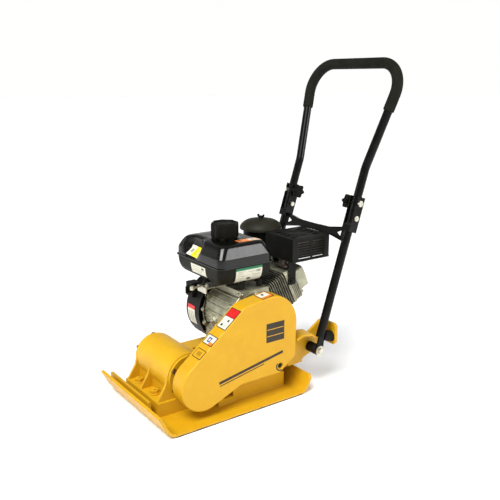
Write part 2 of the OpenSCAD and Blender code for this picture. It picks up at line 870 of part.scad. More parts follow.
module engine_bolts() {
  color(zinc) {
    for (dx = [-1, 1], dy = [-1, 1])
      translate([cyl_x + dx * engine_bolt_dx / 2, crank_y + dy * engine_bolt_dy / 2, 0]) {
        translate([0, 0, 100]) cylinder(h = 20, r = engine_bolt_r);
        translate([0, 0, deck_top + 9]) cylinder(h = 6, r = 7.5, $fn = 6);
        translate([0, 0, 98]) cylinder(h = 6, r = 7.5, $fn = 6);
      }
    translate([-20, case_y0 - 4, 132]) rotate([90, 0, 0]) cylinder(h = 7, r = 8, $fn = 6);
  }
}

// ---------- tank, air cleaner, carburettor, exhaust ----------

// One closed loft of rounded rectangles at rising heights:
// [z, margin, margin on the guard side, corner radius]
module tank_loft(layers, wall) {
  hull() for (l = layers) translate([0, 0, l[0]]) linear_extrude(0.5)
    round_rect(tank_x0 + l[1] + wall, tank_y0 + l[1] + wall,
      tank_x1 - l[2] - wall, tank_y1 - l[1] - wall, l[3], $fn = 32);
}

module tank_lower() {
  feet = [[-40, 80], [-40, 140], [50, 80], [50, 140]];
  color(black) {
    difference() {
      tank_loft([[tank_z0, 16, 16, 20], [tank_z0 + 16, 6, 6, 20], [seam_z - 0.5, 3, 3, 18]], 0);
      tank_loft([[tank_z0 + 3, 16, 16, 18], [tank_z0 + 17, 6, 6, 18], [seam_z, 3, 3, 16]], 3);
    }
    for (p = feet) translate([p[0], p[1], case_roof]) cylinder(h = tank_z0 - case_roof + 0.3, r = 8);
  }
}

module tank_upper() {
  color(black) difference() {
    union() {
      tank_loft([[seam_z + seam_t - 0.2, 3, 3, 18], [seam_z + 26, 5, 4, 18],
        [tank_z1 - 5, 22, 15, 16], [tank_z1 - 0.5, 30, 20, 14]], 0);
      translate([0, 0, seam_z]) linear_extrude(seam_t)
        round_rect(tank_x0, tank_y0, tank_x1, tank_y1, 18);
      translate([tank_x0 - 3, 24, seam_z]) cube([10, 14, seam_t]);
      translate([neck[0], neck[1], tank_z1 - 2]) cylinder(h = 12, r = neck_r + 3);
    }
    tank_loft([[seam_z - 0.5, 3, 3, 16], [seam_z + 26, 5, 4, 16], [tank_z1 - 9, 22, 15, 14]], 3);
    translate([neck[0], neck[1], tank_z1 - 14]) cylinder(h = 40, r = neck_r);
  }
}

module fuel_cap() {
  color(black) difference() {
    translate([neck[0], neck[1], tank_z1 + 2]) cylinder(h = cap_z1 - tank_z1 - 2, r = cap_r);
    for (a = [0 : 40 : 320]) translate([neck[0], neck[1], 0]) rotate([0, 0, a])
      translate([cap_r + 8, 0, tank_z1 + 8]) cylinder(h = 60, r = 11);
    translate([neck[0], neck[1], tank_z1]) cylinder(h = 14, r = neck_r + 3.4);
  }
}

module air_cleaner_base() {
  c = [air_c[0], air_c[1], 0];
  color(black) difference() {
    union() {
      translate(c + [0, 0, air_z0]) cylinder(h = 9, r = air_r - 8);
      difference() {
        translate(c + [0, 0, air_z0 + 8]) cylinder(h = air_top - air_z0 - 8, r = air_r);
        translate(c + [0, 0, air_z1]) cylinder(h = air_top, r = air_r - air_wall);
      }
      translate([-84, 256, 346]) cylinder(h = 34, r = 16);
      translate(c + [0, 0, air_z1 - eps]) cylinder(h = air_top - air_z1 + eps, r = 3);
    }
    translate([-84, 256, 344]) cylinder(h = air_z1 - 343, r = 11);
  }
}

module air_filter() {
  color([0.8, 0.75, 0.6]) translate([air_c[0], air_c[1], air_z1]) difference() {
    cylinder(h = air_top - air_z1 - 1, r = air_r - air_wall - 1.5);
    translate([0, 0, -1]) cylinder(h = air_top - air_z1 + 1, r = 36);
  }
}

module air_cleaner_cover() {
  color(black) translate([air_c[0], air_c[1], 0]) rotate_extrude() polygon([
    [3.4, cover_z[1] - 4], [24, 456.6], [41, 452.4], [53, 445.6], [60, 438], [62, 433], [62, cover_z[0]],
    [cover_rim, cover_z[0]], [cover_rim, 434], [62.4, 440], [55, 448.4], [42.6, 455.6], [25, 460.2],
    [3.4, cover_z[1]]
  ]);
}

module wing_nut() {
  z = cover_z[1] + 0.4;
  color(black) translate([air_c[0], air_c[1], 0]) {
    translate([0, 0, cover_z[0]]) cylinder(h = z - cover_z[0] + 1, r = 3);
    translate([0, 0, z]) cylinder(h = 7, r = 7);
    for (a = [0, 180]) rotate([0, 0, a]) translate([4, -2.5, z + 1.6]) cube([13, 5, 10]);
  }
}

module carburettor() {
  color(silver) {
    translate([-96, 240, 306]) cube([36, 32, 40]);
    translate([-80, 256, 280]) cylinder(h = 26.5, r = 17);
    rod_x(-61, -48.2, 256, 318, 15);
    rod_x(-104, -95, 250, 334, 4);
    rod_x(-104, -95, 262, 312, 4);
  }
}

// Small lever on a stub that runs along X
module side_lever(x0, y, z, reach, r_in) {
  difference() {
    union() {
      rod_x(x0, x0 + 4, y, z, 8);
      translate([x0, y - reach, z - 3.5]) cube([4, reach, 7]);
      rod_x(x0 - 5, x0 + 4, y - reach, z, 6);
    }
    rod_x(x0 - 1, x0 + 5, y, z, r_in + run_gap);
  }
}

module choke_lever() { color(black) side_lever(-102, 250, 334, 30, 4); }
module fuel_valve_lever() { color(red) side_lever(-102, 262, 312, 26, 4); }

module throttle_bracket() {
  color(zinc) {
    translate([-52, -2, case_roof]) cube([46, 62 + 4, 3]);
    translate([-52, -2, case_roof - 14]) cube([46, 3, 15]);
    translate([-28, 14, case_roof]) cylinder(h = 9, r = 4);
  }
}

module throttle_lever() {
  z = case_roof + 3.4;
  color(zinc) difference() {
    union() {
      translate([-28, 14, z]) cylinder(h = 3, r = 9);
      translate([-33, -34, z]) cube([10, 48, 3]);
      translate([-28, -34, z - 4]) cylinder(h = 11, r = 6);
    }
    translate([-28, 14, z - 1]) cylinder(h = 6, r = 4 + run_gap);
  }
}

module switch_box() {
  color(black) difference() {
    translate([-128, 4, 258]) cube([36, 30, 42]);
    rod_x(-129, -91, crank_y, crank_z, blower_r + 0.2);
  }
}

module switch_knob() {
  color(black) translate([-110, 3.6, 279]) rotate([90, 0, 0]) {
    cylinder(h = 4, r = 12);
    translate([-3, -11, 3.5]) cube([6, 22, 8]);
  }
}

module dipstick() {
  color(dark) in_dipstick() {
    translate([0, 0, -36]) cylinder(h = 54, r = 3);
    translate([0, 0, 0]) cylinder(h = 15, r = 7.9);
    translate([0, 0, 14.4]) cylinder(h = 8, r = 16);
    translate([-13, -3, 22]) cube([26, 6, 8]);
  }
}

module muffler() {
  color(dark) {
    hull() for (x = [muf_x[0] + 16, muf_x[1] - 16], z = [muf_z[0] + 17, muf_z[1] - 17])
      translate([x, muf_y[0] + 6, z]) rotate([-90, 0, 0])
        cylinder(h = muf_y[1] - muf_y[0] - 12, r = 12, $fn = 32);
    translate([28, 246, 343]) cylinder(h = muf_z[0] - 343 + 12, r = 13);
    translate([2, 232, 343]) cube([52, 28, 7]);
  }
}

module muffler_shield() {
  w = muf_x[1] - muf_x[0];
  l = muf_y[1] - muf_y[0];
  h = muf_z[1] - muf_z[0];
  color(black) {
    difference() {
      translate([muf_x[0], muf_y[0], muf_z[0]]) cube([w, l, h]);
      translate([muf_x[0] + shield_t, muf_y[0] + shield_t, muf_z[0] - 1])
        cube([w - 2 * shield_t, l - 2 * shield_t, h - shield_t + 1]);
      for (i = [0 : 6], y = [muf_y[0] + 20, muf_y[0] + 74])
        translate([muf_x[1] - 10, y, muf_z[0] + 8 + i * 7.6]) cube([20, 46, 4.4]);
      for (i = [0 : 3], y = [muf_y[0] + 16, muf_y[1] - 40])
        translate([muf_x[0] + 22 + i * 24, y, muf_z[1] - 10]) cube([12, 24, 20]);
    }
    translate([muf_x[1] - 32, muf_y[0] + 10, 292]) cube([3, 26, muf_z[0] - 292 + 4]);
    translate([muf_x[1] - 32, muf_y[0] + 10, muf_z[0]]) cube([32, 26, 3]);
    hex_x(muf_x[1] - 29, muf_x[1] - 22, muf_y[0] + 23, 304, 8);
  }
}

// ---------- handle ----------

// Legs and loop in the leaning frame: X across, Z up the leg
module leg() {
  bush = [(bush_y - handle_y) * cos(handle_lean), (bush_y - handle_y) * sin(handle_lean)];
  difference() {
    union() {
      translate([leg_x, 0, leg_s0]) cylinder(h = leg_s1 - leg_s0, r = tube_r);
      along_x(tongue_x0, tongue_x0 + tongue_t) {
        disc(bush, 15);
        polygon([[bush[0] - 14, bush[1]], [bush[0] + 12, bush[1]], [9, leg_s0 + 12], [-9, leg_s0 + 12]]);
      }
    }
    translate([leg_x, 0, leg_s0 + 14]) cylinder(h = leg_s1 - leg_s0, r = tube_r - tube_wall);
    rod_x(tongue_x0 - 1, tongue_x0 + tongue_t + 1, bush[0], bush[1], pin_r + run_gap);
  }
}

module lower_legs() { color(black) both_sides() in_handle() leg(); }

// Bow-tie outline between the legs, pulled in by an amount
module bow_tie(inset) {
  half = [[0, 10], [70, 11], [leg_x - tube_r + 0.5, 22]];
  right = [for (p = half) [p[0], p[1] - inset]];
  left = [for (i = [2, 1]) [-right[i][0], right[i][1]]];
  top = concat(left, right);
  polygon(concat(top, [for (i = [len(top) - 1 : -1 : 0]) [top[i][0], -top[i][1]]]));
}

module crossbar() {
  color(black) in_handle() translate([0, 0, crossbar_s]) difference() {
    along_y(-3, 9) bow_tie(0);
    along_y(0, 10) bow_tie(3);
    both_sides() along_y(-4, 1) polygon([[104, 0], [122, 9], [122, -9]]);
    both_sides() translate([leg_x, 0, -40]) cylinder(h = 80, r = tube_r);
    both_sides() translate([leg_x - chan_gap - chan_t - 0.4, -5, chan_s0 - crossbar_s - 0.4])
      cube([12, 20, 20]);
  }
}

module channel() {
  x0 = leg_x - chan_gap - chan_t;
  x1 = leg_x + chan_gap + chan_t;
  difference() {
    translate([x0, -tube_r - 1, chan_s0]) cube([x1 - x0, 2 * tube_r + 2 + chan_t, chan_s1 - chan_s0]);
    translate([leg_x - chan_gap, -tube_r - 2, leg_s1]) cube([2 * chan_gap, 60, 41]);
    translate([leg_x - chan_gap, -tube_r - 2, leg_s1]) cube([2 * chan_gap, 2 * tube_r + 2.6, 100]);
    translate([leg_x, 0, chan_s0 - 1]) cylinder(h = 40, r = tube_r);
    rod_x(x0 - 1, x1 + 1, 0, pivot_s, bolt_r);
    rod_x(x0 - 1, x1 + 1, 0, knob_s, bolt_r + 0.4);
    translate([x0 - 1, -tube_r - 2, knob_s - bolt_r - 3]) cube([x1 - x0 + 2, tube_r + 2, 2 * bolt_r + 3.4]);
  }
}

module handle_channels() { color(black) both_sides() in_handle() channel(); }

module pivot_bolts() {
  x0 = leg_x - chan_gap - chan_t;
  x1 = leg_x + chan_gap + chan_t;
  color(zinc) both_sides() in_handle() {
    rod_x(x0 - 6, x1 + 6, 0, pivot_s, bolt_r);
    rod_x(x1, x1 + 4.5, 0, pivot_s, 8);
    hex_x(x0 - 7, x0, 0, pivot_s, 7.5);
  }
}

// Right half of the loop's centre line: [x, s, direction]
corner_c2 = [bar_half - corner_run, bar_s - corner_r];
splay_c = [leg_x + splay_r, splay_s - splay_run];
function splay_bend() = [for (i = [0 : 2]) let (a = 180 - splay * i / 2)
  [splay_c[0] + splay_r * cos(a), splay_c[1] + splay_r * sin(a), a - 90]];
function corner_bend() = [for (i = [0 : 8]) let (a = (90 + splay) * i / 8 - splay)
  [corner_c2[0] + corner_r * cos(a), corner_c2[1] + corner_r * sin(a), a + 90]];
function half_loop(s0) = s0 < splay_s
  ? concat([[leg_x, s0, 90]], splay_bend(), corner_bend())
  : concat([[leg_x + (s0 - splay_s) * tan(splay), s0, 90 - splay]], corner_bend());
function mirrored(path) = [for (i = [len(path) - 1 : -1 : 0]) [-path[i][0], path[i][1], -path[i][2]]];

// Closed tube swept along the loop from a distance up each leg
module loop_tube(r, s_from) {
  path = concat(half_loop(s_from), mirrored(half_loop(s_from)));
  sides = 20;
  rings = len(path);
  points = [for (p = path, k = [0 : sides - 1]) let (u = 360 * k / sides)
    [p[0] - r * cos(u) * sin(p[2]), r * sin(u), p[1] + r * cos(u) * cos(p[2])]];
  walls = [for (i = [0 : rings - 2], k = [0 : sides - 1]) let (m = (k + 1) % sides)
    [i * sides + k, i * sides + m, (i + 1) * sides + m, (i + 1) * sides + k]];
  caps = [[for (k = [sides - 1 : -1 : 0]) k], [for (k = [0 : sides - 1]) (rings - 1) * sides + k]];
  polyhedron(points, concat(walls, caps));
}

module upper_handle() {
  x0 = leg_x - tube_r - 1;
  x1 = leg_x + tube_r + 1;
  color(black) in_handle() difference() {
    loop_tube(tube_r, pivot_s - 16);
    loop_tube(tube_r - tube_wall, pivot_s - 17);
    both_sides() {
      rod_x(x0, x1, 0, pivot_s, bolt_r + run_gap);
      rod_x(x0, x1, 0, knob_s, bolt_r);
    }
  }
}

module handle_grip() {
  color(rubber) in_handle() difference() {
    loop_tube(grip_r, grip_s);
    loop_tube(tube_r, grip_s - 1);
  }
}

module knob_bolts() {
  x0 = leg_x - chan_gap - chan_t;
  x1 = leg_x + chan_gap + chan_t;
  color(zinc) both_sides() in_handle() {
    rod_x(x0 - 14, x1 + 2, 0, knob_s, bolt_r);
    rod_x(x1 + 0.3, x1 + 5, 0, knob_s, 9);
  }
}

module star_knob() {
  x1 = leg_x - chan_gap - chan_t - 0.4;
  in_handle() difference() {
    union() {
      rod_x(x1 - 8, x1, 0, knob_s, 9);
      translate([x1 - 24, 0, knob_s]) rotate([90, 0, 90]) linear_extrude(17) {
        circle(17);
        for (a = [0 : 60 : 300]) rotate(a) translate([knob_r - 7, 0]) circle(7);
      }
    }
    rod_x(x1 - 18, x1 + 1, 0, knob_s, bolt_r + run_gap);
  }
}

module star_knob_left() { color(black) star_knob(); }
module star_knob_right() { color(black) mirror([1, 0, 0]) star_knob(); }

// ---------- assembly ----------

base_plate();
exciter_housing();
exciter_end_covers();
exciter_bolts();
shaft_bearings();
isolators();
console();
handle_brackets();
bracket_bushes();
bracket_bolts();
stop_buffers();
guard_back_plate();
belt_guard();
guard_bolts();
drive_belt();
crankcase();
crankcase_cover();
cylinder_bank();  // cylinder
cylinder_head();
valve_cover();
spark_plug();
blower_housing();
recoil_cover();
tank_lower();
tank_upper();
air_cleaner_base();
air_filter();
carburettor();
throttle_bracket();
muffler();
muffler_shield();
engine_bolts();
switch_box();
exciter_shaft();
eccentric_weight();
exciter_pulley();
clutch_drum();
crankshaft();
flywheel();
clutch_shoes();
lower_legs();
crossbar();
handle_channels();
pivot_bolts();
upper_handle();
handle_grip();
knob_bolts();
star_knob_left();
star_knob_right();
fuel_cap();
air_cleaner_cover();
wing_nut();
throttle_lever();
choke_lever();
fuel_valve_lever();
switch_knob();
dipstick();
recoil_grip();
recoil_pulley();
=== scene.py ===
"""Looks of the plate compactor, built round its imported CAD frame. Lengths in the helpers are millimetres."""

import math
import random

import bmesh
import bpy
from mathutils import Matrix, Vector
from mathutils.bvhtree import BVHTree


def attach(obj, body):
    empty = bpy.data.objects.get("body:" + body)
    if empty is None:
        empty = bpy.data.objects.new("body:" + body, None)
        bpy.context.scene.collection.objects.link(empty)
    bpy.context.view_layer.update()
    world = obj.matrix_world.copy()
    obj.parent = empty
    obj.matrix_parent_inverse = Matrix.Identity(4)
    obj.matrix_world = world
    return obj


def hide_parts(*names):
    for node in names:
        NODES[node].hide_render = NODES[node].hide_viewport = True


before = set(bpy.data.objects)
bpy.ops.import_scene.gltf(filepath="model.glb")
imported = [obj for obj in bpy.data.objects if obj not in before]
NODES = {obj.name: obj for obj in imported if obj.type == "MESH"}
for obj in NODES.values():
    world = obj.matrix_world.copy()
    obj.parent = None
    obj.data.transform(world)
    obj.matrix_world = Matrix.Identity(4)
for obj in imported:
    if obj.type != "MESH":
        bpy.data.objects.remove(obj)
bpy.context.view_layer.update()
MM = 0.001
rng = random.Random(7)

# ---------- frames, in millimetres ----------


def shift(x, y, z):
    return Matrix.Translation((x, y, z))


def turn(deg, axis):
    return Matrix.Rotation(math.radians(deg), 4, axis)


LEAN = 18.1
HANDLE = shift(0, 277, 108) @ turn(-LEAN, "X")
ALONG_X = Matrix(((0, 0, 1, 0), (1, 0, 0, 0), (0, 1, 0, 0), (0, 0, 0, 1)))
MIRROR = Matrix.Scale(-1, 4, (1, 0, 0))
ID = Matrix.Identity(4)
# (y, z) of the exciter shaft and of the crankshaft
EX = (-106, 101)
CRANK = (110, 216)
FILLER = shift(-30, 78, 0)
AIR_CLEANER = shift(-107, 262, 0)


def polar(c, r, deg):
    return (c[0] + r * math.cos(math.radians(deg)), c[1] + r * math.sin(math.radians(deg)))


def arc(c, r, a0, a1, n):
    return [polar(c, r, a0 + (a1 - a0) * i / n) for i in range(n + 1)]


# ---------- materials ----------


class Graph:
    """A small wrapper that makes shader nodes and links them."""

    def __init__(self, name):
        self.mat = bpy.data.materials.new(name)
        self.mat.use_nodes = True
        self.tree = self.mat.node_tree
        self.tree.nodes.clear()
        self.out = self.node("ShaderNodeOutputMaterial")
        self.bsdf = self.node("ShaderNodeBsdfPrincipled")
        self.tree.links.new(self.bsdf.outputs[0], self.out.inputs["Surface"])
        self.co = self.node("ShaderNodeTexCoord").outputs["Object"]

    def node(self, kind, **props):
        n = self.tree.nodes.new(kind)
        for k, v in props.items():
            setattr(n, k, v)
        return n

    def put(self, socket, value):
        if isinstance(value, bpy.types.NodeSocket):
            self.tree.links.new(value, socket)
        elif hasattr(value, "__len__") and len(value) == 3 and socket.type == "RGBA":
            socket.default_value = (*value, 1)
        else:
            socket.default_value = value

    def noise(self, scale, detail=3.0, rough=0.55, distort=0.0, co=None):
        n = self.node("ShaderNodeTexNoise")
        self.put(n.inputs["Vector"], co or self.co)
        self.put(n.inputs["Scale"], scale)
        self.put(n.inputs["Detail"], detail)
        self.put(n.inputs["Roughness"], rough)
        self.put(n.inputs["Distortion"], distort)
        return n.outputs["Fac"]

    def cells(self, scale):
        n = self.node("ShaderNodeTexVoronoi")
        self.put(n.inputs["Vector"], self.co)
        self.put(n.inputs["Scale"], scale)
        return n.outputs["Distance"]

    def remap(self, value, a, b, c=0.0, d=1.0):
        n = self.node("ShaderNodeMapRange")
        for i, v in enumerate((value, a, b, c, d)):
            self.put(n.inputs[i], v)
        return n.outputs[0]

    def math(self, op, a, b=0.0):
        n = self.node("ShaderNodeMath", operation=op)
        self.put(n.inputs[0], a)
        self.put(n.inputs[1], b)
        return n.outputs[0]

    def mix(self, fac, a, b):
        n = self.node("ShaderNodeMix", data_type="RGBA")
        self.put(n.inputs["Factor"], fac)
        self.put(n.inputs[6], a)
        self.put(n.inputs[7], b)
        return n.outputs[2]

    def stretched(self, x, y, z):
        n = self.node("ShaderNodeMapping")
        self.put(n.inputs["Vector"], self.co)
        n.inputs["Scale"].default_value = (x, y, z)
        return n.outputs["Vector"]

    def edges(self, radius):
        """About 1 near an edge and 0 on flat ground."""
        soft = self.node("ShaderNodeBevel", samples=4)
        self.put(soft.inputs["Radius"], radius)
        geo = self.node("ShaderNodeNewGeometry")
        dot = self.node("ShaderNodeVectorMath", operation="DOT_PRODUCT")
        self.tree.links.new(soft.outputs[0], dot.inputs[0])
        self.tree.links.new(geo.outputs["Normal"], dot.inputs[1])
        return self.remap(dot.outputs["Value"], 0.995, 0.8)

    def bump(self, height, depth):
        n = self.node("ShaderNodeBump")
        self.put(n.inputs["Height"], height)
        n.inputs["Strength"].default_value = 1.0
        n.inputs["Distance"].default_value = depth
        return n.outputs[0]

    def finish(self, **sockets):
        names = dict(
            color="Base Color",
            rough="Roughness",
            metal="Metallic",
            coat="Coat Weight",
            coat_rough="Coat Roughness",
            spec="Specular IOR Level",
            sheen="Sheen Weight",
            normal="Normal",
        )
        for k, v in sockets.items():
            self.put(self.bsdf.inputs[names[k]], v)
        return self.mat


def painted(name, base, deep, light, rough, coat, peel, worn, wear, spec, sole_shadow_height=0.0):
    """Sprayed paint: slight blotches, dust, orange peel, chipped edges, and edges lightened partly as thin
    paint and partly as a painted highlight.

    With a sole height, the band below it turns dark: partly worn bare steel, partly a painted shadow line
    along the bottom edge.
    """
    g = Graph(name)
    blotch = g.noise(11, 3)
    color = g.mix(g.remap(blotch, 0.35, 0.62), deep, base)
    color = g.mix(g.remap(g.noise(38, 4), 0.5, 0.78, 0, 0.55), color, light)
    edge = g.edges(0.0016)
    chips = g.remap(g.noise(160, 5, 0.7), 0.52, 0.6)
    # at edges the colour lightens: partly thinner paint, partly a painted edge highlight
    thin_paint_and_highlight = g.math("MULTIPLY", edge, g.remap(g.noise(60, 3), 0.35, 0.7, 0.15, 1.0))
    color = g.mix(g.math("MULTIPLY", thin_paint_and_highlight, 0.5), color, light)
    chips_and_sole_shadow = g.math("MULTIPLY", g.math("MULTIPLY", edge, chips), wear)
    # the sole band: partly worn bare steel, partly a painted shadow line at the plate's bottom edge
    if sole_shadow_height:
        sep = g.node("ShaderNodeSeparateXYZ")
        g.put(sep.inputs[0], g.co)
        up = g.math("ADD", sep.outputs["Z"], g.remap(g.noise(45, 4), 0.3, 0.7, -0.0012, 0.0012))
        chips_and_sole_shadow = g.math("MAXIMUM", chips_and_sole_shadow, g.remap(up, sole_shadow_height + 0.0008, sole_shadow_height))
    color = g.mix(chips_and_sole_shadow, color, worn)
    r = g.remap(g.noise(55, 5, 0.6), 0.3, 0.72, rough - 0.05, rough + 0.1)
    r = g.math("ADD", r, g.math("MULTIPLY", chips_and_sole_shadow, 0.25))
    height = g.math("ADD", g.noise(520, 2), g.math("MULTIPLY", g.noise(90, 2), 0.6))
    normal = g.bump(height, peel)
    return g.finish(color=color, rough=r, coat=coat, coat_rough=0.12, spec=spec, normal=normal)


def cast(name, base, deep, light, rough, metal, grain, depth, dirt):
    """Cast metal: sand-grain skin, blotchy darker patches, and edges lightened partly as rubbed wear and
    partly as a painted highlight.
    """
    g = Graph(name)
    color = g.mix(g.remap(g.noise(26, 5, 0.6), 0.32, 0.68), deep, base)
    edge = g.edges(0.0022)
    # edges lighten towards the light colour: partly rubbed wear, partly a painted edge highlight
    rub_and_highlight = g.math("MULTIPLY", edge, g.remap(g.noise(90, 4), 0.38, 0.62))
    color = g.mix(g.math("MULTIPLY", rub_and_highlight, 0.7), color, light)
    stain = g.remap(g.noise(9, 6, 0.65, 0.6), 0.55, 0.75, 0, 0.6)
    color = g.mix(stain, color, dirt)
    r = g.remap(g.noise(70, 4), 0.3, 0.7, rough - 0.08, rough + 0.12)
    height = g.math("ADD", g.cells(grain), g.math("MULTIPLY", g.noise(grain * 0.4, 3), 1.4))
    return g.finish(color=color, rough=r, metal=metal, normal=g.bump(height, depth))


def brushed(name, base, deep, rough, scale, depth, tint=None):
    """Turned or drawn metal with fine lines and a few stains."""
    g = Graph(name)
    lines = g.noise(1.0, 2, co=g.stretched(*scale))
    color = g.mix(g.remap(lines, 0.3, 0.7), deep, base)
    color = g.mix(g.remap(g.noise(30, 5, 0.65), 0.55, 0.75, 0, 0.6), color, tint or deep)
    r = g.remap(g.noise(120, 4), 0.3, 0.7, rough - 0.07, rough + 0.13)
    return g.finish(color=color, rough=r, metal=1.0, normal=g.bump(lines, depth))


def elastic(name, base, light, rough, grain, depth, spec=0.3):
    """Rubber or moulded plastic: pebbled skin, scuffs, greyed edges."""
    g = Graph(name)
    color = g.mix(g.remap(g.noise(24, 5), 0.4, 0.75, 0, 0.7), base, light)
    edge = g.edges(0.0014)
    color = g.mix(g.math("MULTIPLY", edge, g.remap(g.noise(80, 3), 0.4, 0.65, 0, 0.55)), color, light)
    r = g.remap(g.noise(45, 4), 0.3, 0.7, rough - 0.08, rough + 0.08)
    height = g.math("ADD", g.cells(grain), g.noise(grain * 1.7, 2))
    return g.finish(color=color, rough=r, spec=spec, normal=g.bump(height, depth))


def printed(name, base, deep, rough=0.35):
    """Label film: nearly even ink with slight mottling and soft creases."""
    g = Graph(name)
    color = g.mix(g.remap(g.noise(120, 4), 0.35, 0.7), deep, base)
    r = g.remap(g.noise(60, 3), 0.3, 0.7, rough - 0.06, rough + 0.08)
    normal = g.bump(g.noise(140, 2), 0.00004)
    return g.finish(color=color, rough=r, coat=0.08, coat_rough=0.2, spec=0.3, normal=normal)


def pleated(name):
    g = Graph(name)
    fine = g.noise(900, 3)
    color = g.mix(g.remap(fine, 0.3, 0.7), (0.55, 0.47, 0.28), (0.74, 0.66, 0.46))
    return g.finish(color=color, rough=0.9, sheen=0.2, normal=g.bump(fine, 0.0001))


YELLOW = ((0.585, 0.318, 0.0065), (0.555, 0.295, 0.006), (0.62, 0.355, 0.013))
M = {
    "yellow": painted("Yellow_paint", *YELLOW, 0.4, 0.06, 0.00005, (0.12, 0.1, 0.08), 0.5, 0.28),
    # the base plate's paint, with a dark sole band that is partly wear and partly painted shadow
    "yellow_sole_shadow": painted("Yellow_paint_sole_shadow_and_wear", *YELLOW,
                           0.4, 0.06, 0.00005, (0.06, 0.045, 0.03), 0.5, 0.28, 0.0028),
    "yellow_cast": painted("Yellow_paint_on_casting",
                           (0.61, 0.34, 0.0065), (0.57, 0.305, 0.006), (0.66, 0.395, 0.018),
                           0.44, 0.05, 0.00022, (0.12, 0.1, 0.08), 0.4, 0.28),
    "black_gloss": painted("Black_tube_paint",
                           (0.003, 0.003, 0.0025), (0.002, 0.002, 0.0016), (0.009, 0.009, 0.008),
                           0.14, 0.0, 0.00004, (0.1, 0.1, 0.09), 0.5, 0.16),
    "tank_gloss": painted("Tank_gloss_black",
                          (0.0025, 0.0025, 0.0018), (0.0018, 0.0018, 0.0012), (0.007, 0.007, 0.005),
                          0.16, 0.0, 0.00003, (0.08, 0.08, 0.07), 0.2, 0.36),
    "tank_satin": painted("Tank_satin_black",
                          (0.011, 0.0105, 0.0065), (0.007, 0.0066, 0.004), (0.022, 0.021, 0.015),
                          0.5, 0.0, 0.00008, (0.08, 0.08, 0.07), 0.25, 0.12),
    "engine_black": painted("Engine_satin_black",
                            (0.005, 0.005, 0.0035), (0.003, 0.003, 0.002), (0.016, 0.015, 0.011),
                            0.46, 0.0, 0.0001, (0.16, 0.15, 0.12), 0.4, 0.16),
    "aluminium": cast("Cast_aluminium", (0.5, 0.49, 0.37), (0.27, 0.26, 0.17), (0.74, 0.73, 0.64),
                      0.42, 0.85, 900, 0.00012, (0.16, 0.14, 0.07)),
    "dark_cast": cast("Cast_fins", (0.17, 0.16, 0.12), (0.09, 0.085, 0.06), (0.75, 0.72, 0.6),
                      0.5, 0.7, 900, 0.00012, (0.04, 0.036, 0.022)),
    "iron": cast("Cast_iron", (0.09, 0.085, 0.078), (0.05, 0.046, 0.04), (0.26, 0.25, 0.23),
                 0.55, 0.8, 700, 0.00018, (0.12, 0.06, 0.03)),
    "zinc": brushed("Zinc_plate", (0.7, 0.68, 0.58), (0.46, 0.44, 0.36), 0.3, (300, 300, 60), 0.00002,
                    (0.5, 0.44, 0.28)),
    "worn_bolt": brushed("Worn_bolt", (0.5, 0.3, 0.1), (0.16, 0.085, 0.035), 0.5, (300, 300, 60), 0.00003,
                         (0.1, 0.05, 0.02)),
    "steel": brushed("Turned_steel", (0.56, 0.56, 0.55), (0.38, 0.38, 0.37), 0.28, (900, 40, 40), 0.00003),
    "exhaust": cast("Exhaust_steel", (0.16, 0.13, 0.11), (0.09, 0.07, 0.06), (0.3, 0.27, 0.24),
                    0.5, 0.8, 600, 0.00008, (0.14, 0.07, 0.03)),
    "rubber": elastic("Rubber", (0.007, 0.0068, 0.0054), (0.02, 0.019, 0.015), 0.75, 700, 0.00006, 0.12),
    "grip": elastic("Grip_rubber", (0.008, 0.008, 0.0056), (0.015, 0.015, 0.011), 0.7, 950, 0.00009, 0.08),
    "plastic": elastic("Black_plastic",
                       (0.0036, 0.0033, 0.002), (0.01, 0.009, 0.0065), 0.5, 800, 0.00005, 0.08),
    "dome": elastic("Dome_plastic", (0.014, 0.0128, 0.0072), (0.025, 0.023, 0.015), 0.5, 1100, 0.00004, 0.14),
    "red": elastic("Red_plastic", (0.55, 0.035, 0.025), (0.68, 0.12, 0.1), 0.35, 700, 0.00003, 0.4),
    "paper": pleated("Filter_paper"),
    "ink_white": printed("Label_white", (0.72, 0.72, 0.6), (0.6, 0.6, 0.49)),
    "ink_black": printed("Label_black", (0.02, 0.016, 0.01), (0.012, 0.01, 0.006)),
    "ink_red": printed("Label_red", (0.66, 0.018, 0.016), (0.52, 0.012, 0.012)),
    "ink_orange": printed("Label_orange", (0.82, 0.24, 0.03), (0.7, 0.18, 0.02)),
    "ink_green": printed("Label_green", (0.012, 0.2, 0.085), (0.008, 0.14, 0.06)),
    "ink_blue": printed("Label_blue", (0.03, 0.07, 0.3), (0.02, 0.05, 0.22)),
    "ink_yellow": printed("Label_yellow", (0.85, 0.66, 0.02), (0.75, 0.56, 0.015)),
    "ink_grey": printed("Label_grey", (0.32, 0.32, 0.24), (0.22, 0.22, 0.16)),
    "ink_yellow_paint": printed("Label_paint_colour", *YELLOW[:2]),
    "panel_dark": printed("Guard_panel_ink_and_painted_shade", (0.03, 0.022, 0.01), (0.02, 0.014, 0.007), 0.42),
}

# ---------- mesh helpers, in millimetres ----------


